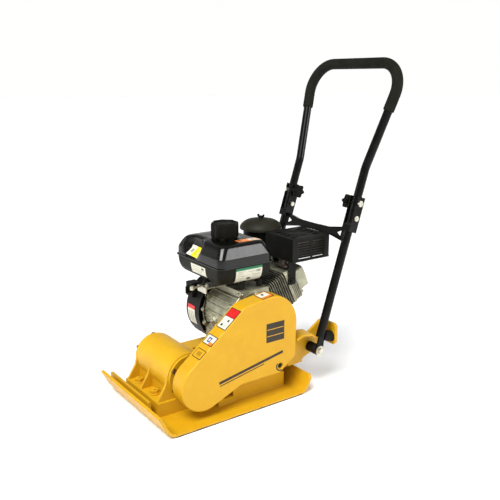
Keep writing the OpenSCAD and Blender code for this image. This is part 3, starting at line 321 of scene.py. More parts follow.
def smooth_group(deg):
    """Geometry nodes that shade faces smooth and keep edges sharper than an angle crisp."""
    name = f"smooth_{deg}"
    if name in bpy.data.node_groups:
        return bpy.data.node_groups[name]
    ng = bpy.data.node_groups.new(name, "GeometryNodeTree")
    ng.interface.new_socket("Geometry", in_out="INPUT", socket_type="NodeSocketGeometry")
    ng.interface.new_socket("Geometry", in_out="OUTPUT", socket_type="NodeSocketGeometry")
    a, b = ng.nodes.new("NodeGroupInput"), ng.nodes.new("NodeGroupOutput")
    angle = ng.nodes.new("GeometryNodeInputMeshEdgeAngle")
    less = ng.nodes.new("FunctionNodeCompare")
    less.data_type, less.operation = "FLOAT", "LESS_EQUAL"
    less.inputs[1].default_value = math.radians(deg)
    faces = ng.nodes.new("GeometryNodeSetShadeSmooth")
    faces.domain = "FACE"
    edges = ng.nodes.new("GeometryNodeSetShadeSmooth")
    edges.domain = "EDGE"
    link = ng.links.new
    link(a.outputs[0], faces.inputs[0])
    link(faces.outputs[0], edges.inputs[0])
    link(angle.outputs[0], less.inputs[0])
    link(less.outputs[0], edges.inputs["Shade Smooth"])
    link(edges.outputs[0], b.inputs[0])
    return ng


BEVEL_SEGMENTS, BEVEL_ANGLE, WELD_GAP = 2, 32, 2e-6


def dress(ob, bevel=0.0, smooth=38, weld=False):
    """Rounds the edges and smooths the shading, through modifiers only."""
    if weld:
        m = ob.modifiers.new("weld", "WELD")
        m.merge_threshold = WELD_GAP
    if bevel:
        m = ob.modifiers.new("round", "BEVEL")
        m.width, m.segments = bevel * MM, BEVEL_SEGMENTS
        m.limit_method, m.angle_limit = "ANGLE", math.radians(BEVEL_ANGLE)
        m.use_clamp_overlap = True
    m = ob.modifiers.new("smooth", "NODES")
    m.node_group = smooth_group(smooth)
    m = ob.modifiers.new("even", "WEIGHTED_NORMAL")
    m.keep_sharp = True


def to_object(name, bm, mats):
    """Makes an object in metres from a bmesh in millimetres."""
    bmesh.ops.recalc_face_normals(bm, faces=bm.faces)
    bm.transform(Matrix.Scale(MM, 4))
    me = bpy.data.meshes.new(name)
    bm.to_mesh(me)
    bm.free()
    for mat in mats:
        me.materials.append(M[mat])
    ob = bpy.data.objects.new(name, me)
    bpy.context.scene.collection.objects.link(ob)
    return ob


def piece(name, bm, mat, body, replaces=(), bevel=0.0, smooth=38):
    """Turns a bmesh in millimetres into a piece that rides on a body."""
    bmesh.ops.remove_doubles(bm, verts=bm.verts, dist=1e-3)
    ob = to_object(name, bm, [mat])
    dress(ob, bevel, smooth)
    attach(ob, body)
    if replaces:
        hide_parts(*replaces)


def angles(n):
    return [2 * math.pi * i / n for i in range(n)]


def band(bm, a, b):
    """Joins two rings of vertices with quads."""
    for i in range(len(a)):
        j = (i + 1) % len(a)
        bm.faces.new((a[i], a[j], b[j], b[i]))


def loft(bm, rings, matrix=ID, cap0=True, cap1=True):
    """Joins rings of equal length with quads and closes the ends."""
    rows = [[bm.verts.new(matrix @ Vector(p)) for p in ring] for ring in rings]
    for a, b in zip(rows, rows[1:]):
        band(bm, a, b)
    if cap0:
        bm.faces.new(rows[0][::-1])
    if cap1:
        bm.faces.new(rows[-1])


def box(bm, lo, hi):
    outline = [(lo[0], lo[1]), (hi[0], lo[1]), (hi[0], hi[1]), (lo[0], hi[1])]
    loft(bm, [[(x, y, z) for x, y in outline] for z in (lo[2], hi[2])])


# an end this near the axis closes to a point and needs no cap
TIP = 0.01


def lathe(bm, profile, matrix=ID, n=64, wobble=lambda a, k: 1.0):
    """Turns (radius, height) points about Z.

    A wobble gives a radius factor for an angle and a point number.
    """
    rings = []
    for k, (r, h) in enumerate(profile):
        spokes = [(a, r * wobble(a, k)) for a in angles(n)]
        rings.append([(far * math.cos(a), far * math.sin(a), h) for a, far in spokes])
    loft(bm, rings, matrix, cap0=profile[0][0] > TIP, cap1=profile[-1][0] > TIP)


def sweep(bm, path, radius, n=24, matrix=ID, closed=False):
    """Round tube along a path. The radius may be a function of the point number."""
    pts = [Vector(p) for p in path]
    last = len(pts) - 1
    up = None
    rings = []
    for i, p in enumerate(pts):
        if closed:
            d = (pts[(i + 1) % len(pts)] - pts[i - 1]).normalized()
        else:
            d = (pts[min(i + 1, last)] - pts[max(i - 1, 0)]).normalized()
        if up is None:
            up = d.orthogonal().normalized()
        up = (up - d * up.dot(d)).normalized()
        side = d.cross(up)
        r = radius(i) if callable(radius) else radius
        rings.append([p + r * (math.cos(t) * up + math.sin(t) * side) for t in angles(n)])
    if closed:
        rings.append(rings[0])
    loft(bm, rings, matrix, cap0=not closed, cap1=not closed)


def smooth_path(points, steps):
    """Catmull-Rom curve through the points."""
    pts = [Vector(p) for p in points]
    pts = [2 * pts[0] - pts[1]] + pts + [2 * pts[-1] - pts[-2]]
    out = []
    for a, b, c, d in zip(pts, pts[1:], pts[2:], pts[3:]):
        for i in range(steps):
            t = i / steps
            out.append(0.5 * (2 * b + (c - a) * t + (2 * a - 5 * b + 4 * c - d) * t * t
                              + (3 * b - a - 3 * c + d) * t ** 3))
    out.append(pts[-2])
    return out


def rounded(x0, y0, x1, y1, r, n=6):
    return (arc((x1 - r, y1 - r), r, 0, 90, n) + arc((x0 + r, y1 - r), r, 90, 180, n)
            + arc((x0 + r, y0 + r), r, 180, 270, n) + arc((x1 - r, y0 + r), r, 270, 360, n))


def hex_head(bm, matrix, r, h, washer=0.0, washer_t=0.0, stud=0.0):
    """Hexagon head or nut with a washer under it, chamfered corners and, on a nut, the thread's end."""
    if washer:
        disc = [(washer - 0.6, 0), (washer, 0.5), (washer, washer_t - 0.5), (washer - 0.6, washer_t)]
        lathe(bm, disc, matrix, 36)
    flat = r * math.cos(math.pi / 6)
    inner = flat * 0.94
    rings = [[], [], [], []]
    for a in angles(36):
        far = flat / math.cos((a + math.pi / 6) % (math.pi / 3) - math.pi / 6)
        levels = ((far, 0), (far, h - (far - inner) * 0.5), (inner, h), (inner * 0.72, h - 0.25))
        for ring, (rad, z) in zip(rings, levels):
            ring.append((rad * math.cos(a), rad * math.sin(a), z + washer_t))
    loft(bm, rings, matrix)
    if stud:
        top = washer_t + h
        lathe(bm, [(stud, top - 1), (stud, top + 2.6), (stud - 0.8, top + 3.4)], matrix, 20)


def weld_bead(bm, path, r):
    """A weld: a round bead with the ripples of its passes."""
    pts = [Vector(p) for p in path]
    fine = []
    for a, b in zip(pts, pts[1:]):
        steps = max(2, int((b - a).length / 1.5))
        fine += [a + (b - a) * i / steps for i in range(steps)]
    fine.append(pts[-1])
    phase = rng.random() * 6

    def ripple(i):
        return r * (1 + 0.1 * math.sin(i * 1.25 + phase) + rng.uniform(-0.05, 0.05))

    sweep(bm, fine, ripple, 10)


# ---------- camera, floor and light ----------


# the photograph's viewing angle in degrees, the camera's place in metres and its lens
CAM_AZIMUTH, CAM_ELEVATION = 54.4, 14.4
CAM_PLACE = (1.5053, -0.9333, 0.8746)
CAM_LENS = 47.95


def make_stage():
    scene = bpy.context.scene
    cam = bpy.data.objects.new("Camera", bpy.data.cameras.new("Camera"))
    scene.collection.objects.link(cam)
    az, el = math.radians(CAM_AZIMUTH), math.radians(CAM_ELEVATION)
    back = Vector((math.sin(az) * math.cos(el), -math.cos(az) * math.cos(el), math.sin(el)))
    cam.location = CAM_PLACE
    cam.rotation_mode = "QUATERNION"
    cam.rotation_quaternion = (-back).to_track_quat("-Z", "Y")
    cam.data.lens, cam.data.sensor_width = CAM_LENS, 36
    scene.camera = cam

    bm = bmesh.new()
    bmesh.ops.create_grid(bm, x_segments=2, y_segments=2, size=30)
    me = bpy.data.meshes.new("Floor")
    bm.to_mesh(me)
    bm.free()
    floor = bpy.data.objects.new("Floor", me)
    scene.collection.objects.link(floor)
    floor.location.z = -0.0005
    g = Graph("Studio_floor")
    shade = g.mix(g.remap(g.noise(0.6, 2), 0.3, 0.7), (0.95, 0.95, 0.95), (0.955, 0.955, 0.95))
    me.materials.append(g.finish(color=shade, rough=0.9, spec=0.1))

    world = bpy.data.worlds.new("Studio")
    scene.world = world
    world.use_nodes = True
    nt = world.node_tree
    nt.nodes.clear()
    out = nt.nodes.new("ShaderNodeOutputWorld")
    bg = nt.nodes.new("ShaderNodeBackground")
    ramp = nt.nodes.new("ShaderNodeValToRGB")
    sep = nt.nodes.new("ShaderNodeSeparateXYZ")
    tc = nt.nodes.new("ShaderNodeTexCoord")
    nt.links.new(tc.outputs["Generated"], sep.inputs[0])
    nt.links.new(sep.outputs["Z"], ramp.inputs[0])
    nt.links.new(ramp.outputs[0], bg.inputs[0])
    nt.links.new(bg.outputs[0], out.inputs[0])
    bg.inputs[1].default_value = 1.0
    e = ramp.color_ramp.elements
    e[0].position, e[0].color = 0.12, (1.0, 1.0, 0.99, 1)
    e[1].position, e[1].color = 0.3, (0.24, 0.245, 0.25, 1)

    def area(name, loc, target, size, power):
        light = bpy.data.lights.new(name, "AREA")
        light.shape, light.size, light.size_y = "RECTANGLE", size[0], size[1]
        light.energy = power
        ob = bpy.data.objects.new(name, light)
        scene.collection.objects.link(ob)
        ob.location = loc
        ob.rotation_mode = "QUATERNION"
        ob.rotation_quaternion = (Vector(target) - Vector(loc)).to_track_quat("-Z", "Y")

    sun = bpy.data.lights.new("Sun", "SUN")
    sun.energy, sun.angle = 3.05, math.radians(34)
    ob = bpy.data.objects.new("Sun", sun)
    scene.collection.objects.link(ob)
    ob.rotation_mode = "QUATERNION"
    ob.rotation_quaternion = Vector((-0.25, 0.55, -1)).normalized().to_track_quat("-Z", "Y")
    area("Key", (0.9, -1.6, 2.3), (0, 0, 0.3), (1.6, 1.0), 30)
    area("Side", (2.0, 1.62, 1.3), (0.02, 0.1, 0.38), (1.1, 1.0), 30)
    area("Strip", (-1.5, -2.1, 1.0), (0, 0.1, 0.5), (0.09, 1.3), 8)
    scene.view_settings.view_transform = "Standard"


make_stage()

# ---------- CAD nodes that keep their own shape ----------

KEEP = {
    "base_plate": ("yellow_sole_shadow", 1.0),
    "exciter_housing": ("yellow_cast", 2.0),
    "exciter_end_covers": ("yellow_cast", 1.0),
    "console": ("yellow", 0.8),
    "handle_brackets": ("yellow", 0.8),
    "guard_back_plate": ("yellow", 0.5),
    "shaft_bearings": ("steel", 0.5),
    "bracket_bushes": ("rubber", 0.8),
    "stop_buffers": ("rubber", 0.8),
    "drive_belt": ("rubber", 0.4),
    "crankcase": ("aluminium", 1.0),
    "crankcase_cover": ("aluminium", 0.8),
    "cylinder": ("dark_cast", 0.5),
    "cylinder_head": ("aluminium", 0.8),
    "valve_cover": ("aluminium", 1.2),
    "spark_plug": ("plastic", 0.8),
    "blower_housing": ("engine_black", 1.2),
    "recoil_cover": ("engine_black", 0.8),
    "air_cleaner_base": ("plastic", 0.8),
    "air_filter": ("paper", 0.8),
    "carburettor": ("aluminium", 0.8),
    "throttle_bracket": ("zinc", 0.4),
    "muffler": ("exhaust", 0.8),
    "muffler_shield": ("engine_black", 0.5),
    "switch_box": ("plastic", 1.0),
    "exciter_shaft": ("steel", 0.5),
    "eccentric_weight": ("iron", 0.8),
    "exciter_pulley": ("iron", 0.5),
    "clutch_drum": ("iron", 0.5),
    "crankshaft": ("steel", 0.5),
    "flywheel": ("iron", 0.5),
    "clutch_shoes": ("steel", 0.5),
    "lower_legs": ("black_gloss", 0.8),
    "crossbar": ("black_gloss", 0.5),
    "handle_channels": ("black_gloss", 0.8),
    "bracket_bolts": ("zinc", 0.5),
    # the guard bolts are black: partly their black finish, partly painted shade for the dark bolt hole
    "guard_bolts": ("engine_black", 0.5),
    "engine_bolts": ("zinc", 0.5),
    "pivot_bolts": ("zinc", 0.4),
    "knob_bolts": ("zinc", 0.4),
    "isolators": ("yellow_cast", 0.8),
    "throttle_lever": ("zinc", 0.4),
    "choke_lever": ("plastic", 0.4),
    "fuel_valve_lever": ("red", 0.4),
    "dipstick": ("plastic", 0.5),
    "recoil_grip": ("rubber", 1.0),
    "recoil_pulley": ("plastic", 0.5),
}


def keep_nodes():
    for name, (mat, bevel) in KEEP.items():
        ob = NODES[name]
        ob.data.materials.clear()
        ob.data.materials.append(M[mat])
        dress(ob, bevel, weld=True)


keep_nodes()

# ---------- belt guard ----------

FRONT_SLOPE, TOP_SLOPE, LOW_SLOPE = 38.9, 8.5, 22.4
FRONT_R, REAR_R, CORNER_R = 69, 89.5, 35
LOW_Z, LOW_REAR = 74, 142
GUARD_X0, GUARD_X = 104, 150
LUG = (142, 96)


def normal(deg):
    return Vector((-math.sin(math.radians(deg)), math.cos(math.radians(deg))))


def along(deg):
    return Vector((math.cos(math.radians(deg)), math.sin(math.radians(deg))))


FRONT_TOUCH = Vector(EX) + FRONT_R * normal(FRONT_SLOPE)
TOP_TOUCH = Vector(CRANK) + REAR_R * normal(TOP_SLOPE)
LOW_TOUCH = Vector(EX) - FRONT_R * normal(LOW_SLOPE)
LOW_END = LOW_TOUCH.x + (LOW_Z - LOW_TOUCH.y) / math.tan(math.radians(LOW_SLOPE))


def corner_centre():
    """Centre of the arc that joins the front slope to the top slope."""
    gap = TOP_TOUCH - FRONT_TOUCH
    front, top = along(FRONT_SLOPE), along(TOP_SLOPE)
    reach = (gap.x * top.y - gap.y * top.x) / (front.x * top.y - front.y * top.x)
    n1, n2 = normal(FRONT_SLOPE), normal(TOP_SLOPE)
    return FRONT_TOUCH + reach * front - CORNER_R * (n1 + n2) / (1 + n1.dot(n2))


CORNER = corner_centre()


def guard_outline(inset):
    return (arc(EX, FRONT_R - inset, LOW_SLOPE - 90, FRONT_SLOPE - 270, 56)
            + arc(CORNER, CORNER_R - inset, FRONT_SLOPE + 90, TOP_SLOPE + 90, 12)
            + arc(CRANK, REAR_R - inset, TOP_SLOPE + 90, 0, 40)
            + [(CRANK[0] + REAR_R - inset - 3, 114), (LOW_REAR - inset * 0.4, LOW_Z + inset),
               (LOW_END + inset * 0.2, LOW_Z + inset)])


def make_guard():
    """The cover, with a rolled outer edge and a cup for its bolt pressed into the face."""
    bm = bmesh.new()
    edge = 4.5
    rows = [(GUARD_X0, 0), (GUARD_X0 + 10, 0), (GUARD_X - edge - 8, 0)]
    rows += [(GUARD_X - edge * (1 - math.sin(a)), edge * (1 - math.cos(a)))
             for a in (math.radians(v) for v in (0, 15, 30, 45, 60, 75, 90))]
    rings = [[bm.verts.new((x, y, z)) for y, z in guard_outline(i)] for x, i in rows]
    for a, b in zip(rings, rings[1:]):
        band(bm, a, b)
    cup = [(9.5, GUARD_X), (9.0, GUARD_X - 0.8), (8.4, GUARD_X - 6.4), (7.8, GUARD_X - 7)]
    rows = [[bm.verts.new((x, *polar(LUG, r, 360 * k / 40))) for k in range(40)] for r, x in cup]
    for a, b in zip(rows, rows[1:]):
        band(bm, a, b)
    bm.faces.new(rows[-1])
    bm.edges.ensure_lookup_table()
    rim = [bm.edges.get((ring[i], ring[(i + 1) % len(ring)]))
           for ring in (rings[-1], rows[0]) for i in range(len(ring))]
    bmesh.ops.triangle_fill(bm, use_beauty=True, edges=rim)
    inner = [[bm.verts.new((x, y, z)) for y, z in guard_outline(3)] for x in (GUARD_X0, GUARD_X - 4)]
    band(bm, inner[0], inner[1])
    band(bm, rings[0], inner[0])
    piece("belt_guard_cover", bm, "yellow", "base", ("belt_guard",), smooth=24)


make_guard()


# ---------- labels ----------


def sheet_on(place, u0, u1, v0, v1, parts, name, lift=0.35, nu=10, nv=10):
    """A label: a base film and flat fields on it, on body base.

    place(u, v, h) gives the surface. parts is the film's ink and then fields (u0, u1, v0, v1, ink).
    """
    bm = bmesh.new()
    inks = []
    for level, (a, b, c, d, ink) in enumerate([(u0, u1, v0, v1, parts[0])] + parts[1:]):
        if ink not in inks:
            inks.append(ink)
        us = [a + (b - a) * i / nu for i in range(nu + 1)]
        vs = [c + (d - c) * j / nv for j in range(nv + 1)]
        h = lift + (0.12 if level else 0.0) + 0.01 * level
        grid = [[bm.verts.new(place(u, v, h)) for u in us] for v in vs]
        for low, high in zip(grid, grid[1:]):
            for i in range(nu):
                f = bm.faces.new((low[i], low[i + 1], high[i + 1], high[i]))
                f.material_index = inks.index(ink)
        rim = grid[0] + [row[-1] for row in grid[1:]] + grid[-1][-2::-1] + [row[0] for row in grid[-2:0:-1]]
        edge = [(u, c) for u in us] + [(b, v) for v in vs[1:]]
        edge += [(u, d) for u in us[-2::-1]] + [(a, v) for v in vs[-2:0:-1]]
        foot = [bm.verts.new(place(u, v, -0.3)) for u, v in edge]
        for i in range(len(rim)):
            j = (i + 1) % len(rim)
            bm.faces.new((rim[i], rim[j], foot[j], foot[i])).material_index = inks.index(ink)
    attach(to_object(name, bm, inks), "base")


def on_slope(u, v, h):
    """u runs up the guard's front slope from its lower end, v across it towards the face."""
    p = FRONT_TOUCH + u * along(FRONT_SLOPE) + h * normal(FRONT_SLOPE)
    return (v, p.x, p.y)


def on_top(u, v, h):
    p = TOP_TOUCH + u * along(TOP_SLOPE) + h * normal(TOP_SLOPE)
    return (v, p.x, p.y)


LINE_SLOPE = 10.5
LINE_START = Vector((-64, 96))


def on_face(u, v, h):
    """u runs to the rear and slightly up on the guard's outer face, v is the height above that line."""
    p = LINE_START + u * along(LINE_SLOPE) + v * normal(LINE_SLOPE)
    return (GUARD_X + h, p.x, p.y)


def make_guard_labels():
    edge = (105.5, 148)
    sheet_on(on_slope, 138, 205, *edge, ["ink_black",
             (140.3, 176, edge[0] + 2.3, edge[1] - 2.3, "ink_white"),
             (177.4, 202.7, edge[0] + 2.3, edge[1] - 2.3, "ink_red"),
             (146, 153, 116, 124, "panel_dark"), (162, 169, 130, 137, "panel_dark"),
             (156, 157, 110, 124, "ink_grey"), (159, 160, 110, 124, "ink_grey"),
             (146, 147, 130, 141, "ink_grey"), (150, 151, 130, 141, "ink_grey")], "guard_label_long")
    sheet_on(on_slope, 82, 112, *edge, ["ink_black",
             (84.2, 109.8, edge[0] + 2.2, edge[1] - 2.2, "ink_white"),
             (84.2, 93, 130, edge[1] - 2.2, "ink_orange"),
             (90, 105, 117, 131, "ink_blue"), (93.5, 101.5, 121, 127, "ink_white")], "guard_label_square")
    sheet_on(on_slope, 38, 66, edge[0] + 3, edge[1], ["ink_black",
             (39.9, 64.1, edge[0] + 4.9, edge[1] - 1.9, "ink_yellow_paint"),
             (46, 58, 121, 123.4, "panel_dark"), (46, 58, 127, 129.4, "panel_dark"),
             (46, 58, 133, 135.4, "panel_dark")], "guard_label_outlined")
    sheet_on(on_top, -16, 22, *edge, ["panel_dark",
             (-13.6, 19.6, edge[0] + 2.4, edge[1] - 2.4, "ink_orange"),
             (-12, 17, edge[0] + 4, edge[1] - 12, "ink_white"), (-2, 5, 116, 126, "panel_dark")],
             "guard_label_top")
    bars = ["panel_dark"] + [(95, 151, z, z + 2, "ink_yellow_paint") for z in (192, 211)]
    sheet_on(lambda u, v, h: (GUARD_X + h, u, v), 92, 154, 175, 230, bars, "guard_panel", 0.12)
    sheet_on(on_face, 2, 218, -2, 6, ["panel_dark"], "guard_stripe_wide", 0.12, 30, 2)
    sheet_on(on_face, 2, 150, -8.5, -5.5, ["panel_dark"], "guard_stripe_thin", 0.12, 30, 2)
    # a dark crescent sheet round the lug: painted shade of the slot
    sheet_on(lambda u, v, h: (GUARD_X + h, *polar(LUG, v, u)), 140, 285, 11.5, 15.5, ["panel_dark"],
             "guard_lug_slot_painted_shade", 0.12, 30, 2)


make_guard_labels()

# ---------- fuel tank ----------

TANK_X0, TANK_Y0, TANK_X1, TANK_Y1 = -168, -8, 74, 177


def ease(a, b, x):
    t = min(1.0, max(0.0, (x - a) / (b - a)))
    return t * t * (3 - 2 * t)


def tank_ring(z, far, near, front, rear, r, dent=0.0):
    """Rounded rectangle with a margin on each side, with the label's recess pushed into its front."""
    x0, y0, x1, y1 = TANK_X0 + far, TANK_Y0 + front, TANK_X1 - near, TANK_Y1 - rear
    pts = []
    corners = [((x1 - r, y1 - r), 0), ((x0 + r, y1 - r), 90),
               ((x0 + r, y0 + r), 180), ((x1 - r, y0 + r), 270)]
    for k, (c, a) in enumerate(corners):
        pts += arc(c, r, a, a + 90, 10)
        p, q = pts[-1], polar(corners[(k + 1) % 4][0], r, corners[(k + 1) % 4][1])
        pts += [(p[0] + (q[0] - p[0]) * i / 36, p[1] + (q[1] - p[1]) * i / 36) for i in range(1, 36)]
    out = []
    for x, y in pts:
        if dent and y < TANK_Y0 + 60:
            across = ease(-132, -104, x) * (1 - ease(-66, -30, x))
            y += dent * across * (1 - ease(TANK_Y0 + 12, TANK_Y0 + 60, y))
        out.append((x, y, z))
    return out


def make_tank():
    bm = bmesh.new()
    levels = [(380.2, 3, 3, 3, 3, 18), (390, 3.1, 3.1, 3.1, 3.1, 18), (402, 3.8, 3.3, 3.6, 3.5, 18),
              (404.2, 4.2, 3.8, 4.2, 4.0, 18), (406, 4.8, 4.6, 5.2, 4.8, 18), (414, 7.2, 8.0, 9.2, 8.6, 19),
              (422, 11.4, 11.2, 12.8, 12.2, 20), (430, 18.4, 14.4, 16.6, 15.8, 21),
              (433.8, 23.6, 16.4, 19.4, 18.2, 22), (436, 29, 18.6, 23, 21.4, 22),
              (437.6, 36, 22.4, 28, 26, 22), (438.6, 46, 28, 36, 33, 22), (439, 60, 36, 48, 44, 22)]
    rings = []
    for z, far, near, front, rear, r in levels:
        depth = 22 * ease(383, 404, z) * (1 - 0.35 * ease(418, 439, z))
        rings.append(tank_ring(z, far, near, front, rear, r, depth))
    loft(bm, rings, cap0=False)
    neck = [(46, 438.9), (37, 440.2), (33.6, 443), (33, 446), (33, 449), (30, 449.2), (27, 449.2), (27, 430)]
    lathe(bm, neck, FILLER, 72)
    piece("tank_top", bm, "tank_gloss", "base", ("tank_upper",), smooth=30)

    bm = bmesh.new()
    rings = [tank_ring(z, m, m, m, m, r) for z, m, r in
             ((377, 3, 18), (368, 3.2, 18), (356, 4.4, 18), (346, 6.8, 19),
              (339, 10.2, 20), (333.5, 14.6, 21), (330.4, 19, 21), (329, 26, 21))]
    loft(bm, rings, cap0=False)
    for x, y in ((-40, 80), (-40, 140), (50, 80), (50, 140)):
        lathe(bm, [(8, 306.2), (8, 327), (11, 329.6)], shift(x, y, 0), 28)
    piece("tank_bottom", bm, "tank_satin", "base", ("tank_lower",), smooth=34)

    bm = bmesh.new()
    rings = [tank_ring(z, m, m, m, m, 16) for z, m in
             ((377, 4), (377, 1.0), (377.4, 0.3), (378.2, 0),
              (379.2, 0), (380, 0.3), (380.4, 1.0), (380.4, 4))]
    loft(bm, rings, cap0=False, cap1=False)
    box(bm, (-170.8, 24, 377.2), (-161, 38, 380.2))
    lathe(bm, [(3.4, 380), (3.4, 383.4), (2.6, 384)], shift(70, 171, 0), 6)
    piece("tank_flange", bm, "tank_gloss", "base", smooth=30)


make_tank()


def tree_of(ob):
    deps = bpy.context.evaluated_depsgraph_get()
    bm = bmesh.new()
    bm.from_object(ob, deps)
    bm.transform(Matrix.Scale(1000, 4))
    tree = BVHTree.FromBMesh(bm)
    bm.free()
    return tree


def stuck_to(tree, centre, out, up):
    """A place function for a label: rays go back along -out onto the surface round a centre."""
    out = Vector(out).normalized()
    right = Vector(up).cross(out).normalized()
    up = out.cross(right)
    centre = Vector(centre)

    def place(u, v, h):
        p = centre + u * right + v * up + 50 * out
        hit, nrm = tree.ray_cast(p, -out)[:2]
        if hit is None:
            hit, nrm = centre + u * right + v * up, out
        return hit + nrm * h

    return place


def make_tank_labels():
    top = tree_of(bpy.data.objects["tank_top"])
    low = tree_of(bpy.data.objects["tank_bottom"])
    sheet_on(stuck_to(top, (-78, 12, 397), (-0.16, -1, 0.16), (0, 0, 1)), -31, 31, -12.5, 15, ["ink_white",
             (-8, 31, -12.5, 15, "ink_yellow"), (-3, 26, 6, 7.2, "ink_orange"), (-3, 26, 1, 2, "ink_orange"),
             (-3, 26, -5, -4, "ink_orange"), (-24, -13, -4, 5, "ink_grey")],
             "tank_label_recess")
    sheet_on(stuck_to(low, (-43, -5, 354), (0, -1, 0), (0, 0, 1)), -38, 38, -13, 14, ["ink_white",
             (-32, 12, 7, 8.4, "ink_grey"), (-32, 28, 1, 2, "ink_grey"),
             (-32, 20, -5, -4, "ink_grey"), (17, 30, 5, 10, "ink_black")],
             "tank_label_front")
    sheet_on(stuck_to(low, (71, 92, 353), (1, 0, 0), (0, 0, 1)), -44, 44, -21, 21, ["ink_white",
             (-44, 44, 14, 21, "ink_green"), (-38, -12, 9, 10, "ink_grey"), (-38, -20, 4, 5, "ink_grey"),
             (-6, 20, 7, 8, "ink_grey"), (24, 38, 4, 10, "ink_grey"), (-38, -14, -3, -2, "ink_grey"),
             (-38, -20, -9, -8, "ink_grey"), (-6, 6, -15, -10, "ink_black"), (12, 36, -3, -2, "ink_grey")],
             "tank_label_side")
    sheet_on(stuck_to(top, (29, 119, 438), (0.05, 0, 1), (-1, 0, 0)), -39, 38, -12, 12, ["ink_orange",
             (-2, 36, -10, 10, "ink_white"), (-34, -26, -7, 7, "panel_dark"), (4, 30, 2, 4, "ink_orange"),
             (4, 30, -5, -3, "ink_orange"), (10, 18, -1, 1, "ink_black")],
             "tank_label_top")


make_tank_labels()


def on_blower(u, v, h):
    """u is an angle round the crankshaft, v a place along it."""
    y, z = polar(CRANK, 103 + h, u)
    return (v, y, z)


sheet_on(on_blower, 171, 204, -124, -86, ["ink_white", (171, 177.4, -124, -86, "ink_red"),
         (181, 199, -118, -115, "ink_grey"), (181, 199, -108, -105, "ink_grey"),
         (181, 199, -98, -95, "ink_grey")], "blower_label", nu=16)

# ---------- fuel cap, air cleaner lid and wing nut ----------


def make_caps():
    bm = bmesh.new()
    profile = [(33.6, 449.6), (33.6, 442), (36.5, 441), (39, 442.2), (39.8, 444.5), (39.8, 452), (39.8, 462),
               (39.8, 473), (39.6, 479), (38.8, 482.6), (37, 484.6), (34.4, 485), (31.6, 484.4), (29.8, 483),
               (29, 481.4), (20, 481.8), (10, 482), (0.01, 482)]

    def lobes(a, k):
        if not 3 <= k <= 11:
            return 1.0
        deep = 0.062 if k < 10 else 0.062 * (12 - k) / 2.4
        return 1.0 - deep * (1 + math.cos(8 * a)) ** 1.3 / 1.23

    lathe(bm, profile, FILLER, 180, wobble=lobes)
    piece("fuel_cap_moulded", bm, "plastic", "fuel_cap", ("fuel_cap",), smooth=40)

    bm = bmesh.new()
    dome = [(62, 433), (62, 429), (64.4, 429), (65, 429.6), (65, 433), (64.4, 436.4), (62.6, 440),
            (59.6, 444), (55.4, 448), (49.8, 452), (43, 455.3), (34, 457.4), (27, 458.8), (22, 459.4),
            (20, 459.8), (17.6, 460.9), (16, 461), (8.4, 461), (7.8, 460.4), (3.4, 460.3), (3.4, 457)]
    lathe(bm, dome, AIR_CLEANER, 120)
    piece("air_cleaner_lid", bm, "dome", "air_cover", ("air_cleaner_cover",), smooth=34)

    bm = bmesh.new()
    nut = AIR_CLEANER @ turn(25, "Z")
    lathe(bm, [(3, 429.2), (3, 461.4), (8, 461.5), (8, 462.5), (7, 464.4), (6.4, 468), (5, 468.6)], nut, 36)
    wing = [(3, 462.6), (6, 462.8), (9.5, 464.4), (11.6, 468), (11.8, 471.6),
            (10.4, 473.4), (7.6, 473), (6.2, 470.4), (4.4, 469), (3, 468.6)]
    for side in (1, -1):
        rows = [[(side * x, y * (1 - 0.02 * (x - 3)), z) for x, z in wing] for y in (-3, 3)]
        loft(bm, rows, nut)
    piece("wing_nut_moulded", bm, "plastic", "wing_nut", ("wing_nut",), bevel=0.7, smooth=34)

    bm = bmesh.new()
    dial = shift(-110, 3.6, 279) @ turn(90, "X")
    lathe(bm, [(12, 0), (12, 3), (11.2, 4), (0.01, 4)], dial, 48)
    loft(bm, [[(x, y, z) for x, y in rounded(-3 + i, -11 + i, 3 - i, 11 - i, 2.6 - i)]
              for z, i in ((3.8, 0), (10.4, 0.2), (11.3, 1.1))], dial)
    piece("switch_knob_moulded", bm, "plastic", "switch_knob", ("switch_knob",), smooth=34)


make_caps()

# ---------- exciter bolts ----------


def make_bolts():
    bm = bmesh.new()
    for x in (-85, 5):
        for y in (-180, -32):
            hex_head(bm, shift(x, y, 46) @ turn(rng.uniform(0, 60), "Z"), 12.6, 9, 15, 3, 5)
            lathe(bm, [(7.9, 2.2), (7.9, 46)], shift(x, y, 0), 24)
    piece("foot_bolts", bm, "yellow_cast", "base", ("exciter_bolts",), smooth=30)
    bm = bmesh.new()
    for k in range(6):
        y, z = polar(EX, 55, 30 + 60 * k)
        for face in (shift(71, y, z), shift(-131, y, z) @ turn(180, "Z")):
            hex_head(bm, face @ ALONG_X @ turn(rng.uniform(0, 60), "Z"), 6.5, 4.6, 7.4, 1.2)
    piece("end_cover_bolts", bm, "worn_bolt", "base", smooth=30)


make_bolts()

# ---------- handle ----------

# in the leaning frame: the legs' x, where the tube, the knobs and the grip start, and the bar's height
LEG_X, TUBE_START, KNOB_AT, GRIP_START, BAR = 146, 383, 443, 714, 854
SPLAY_C, SPLAY_R = (246, 538.6), 100
BEND_C, BEND_R = (103.3, 774), 80
SPLAY = math.degrees(math.atan2(198 - LEG_X, BAR - 547))
TUBE_R, GRIP_R = 12.5, 16


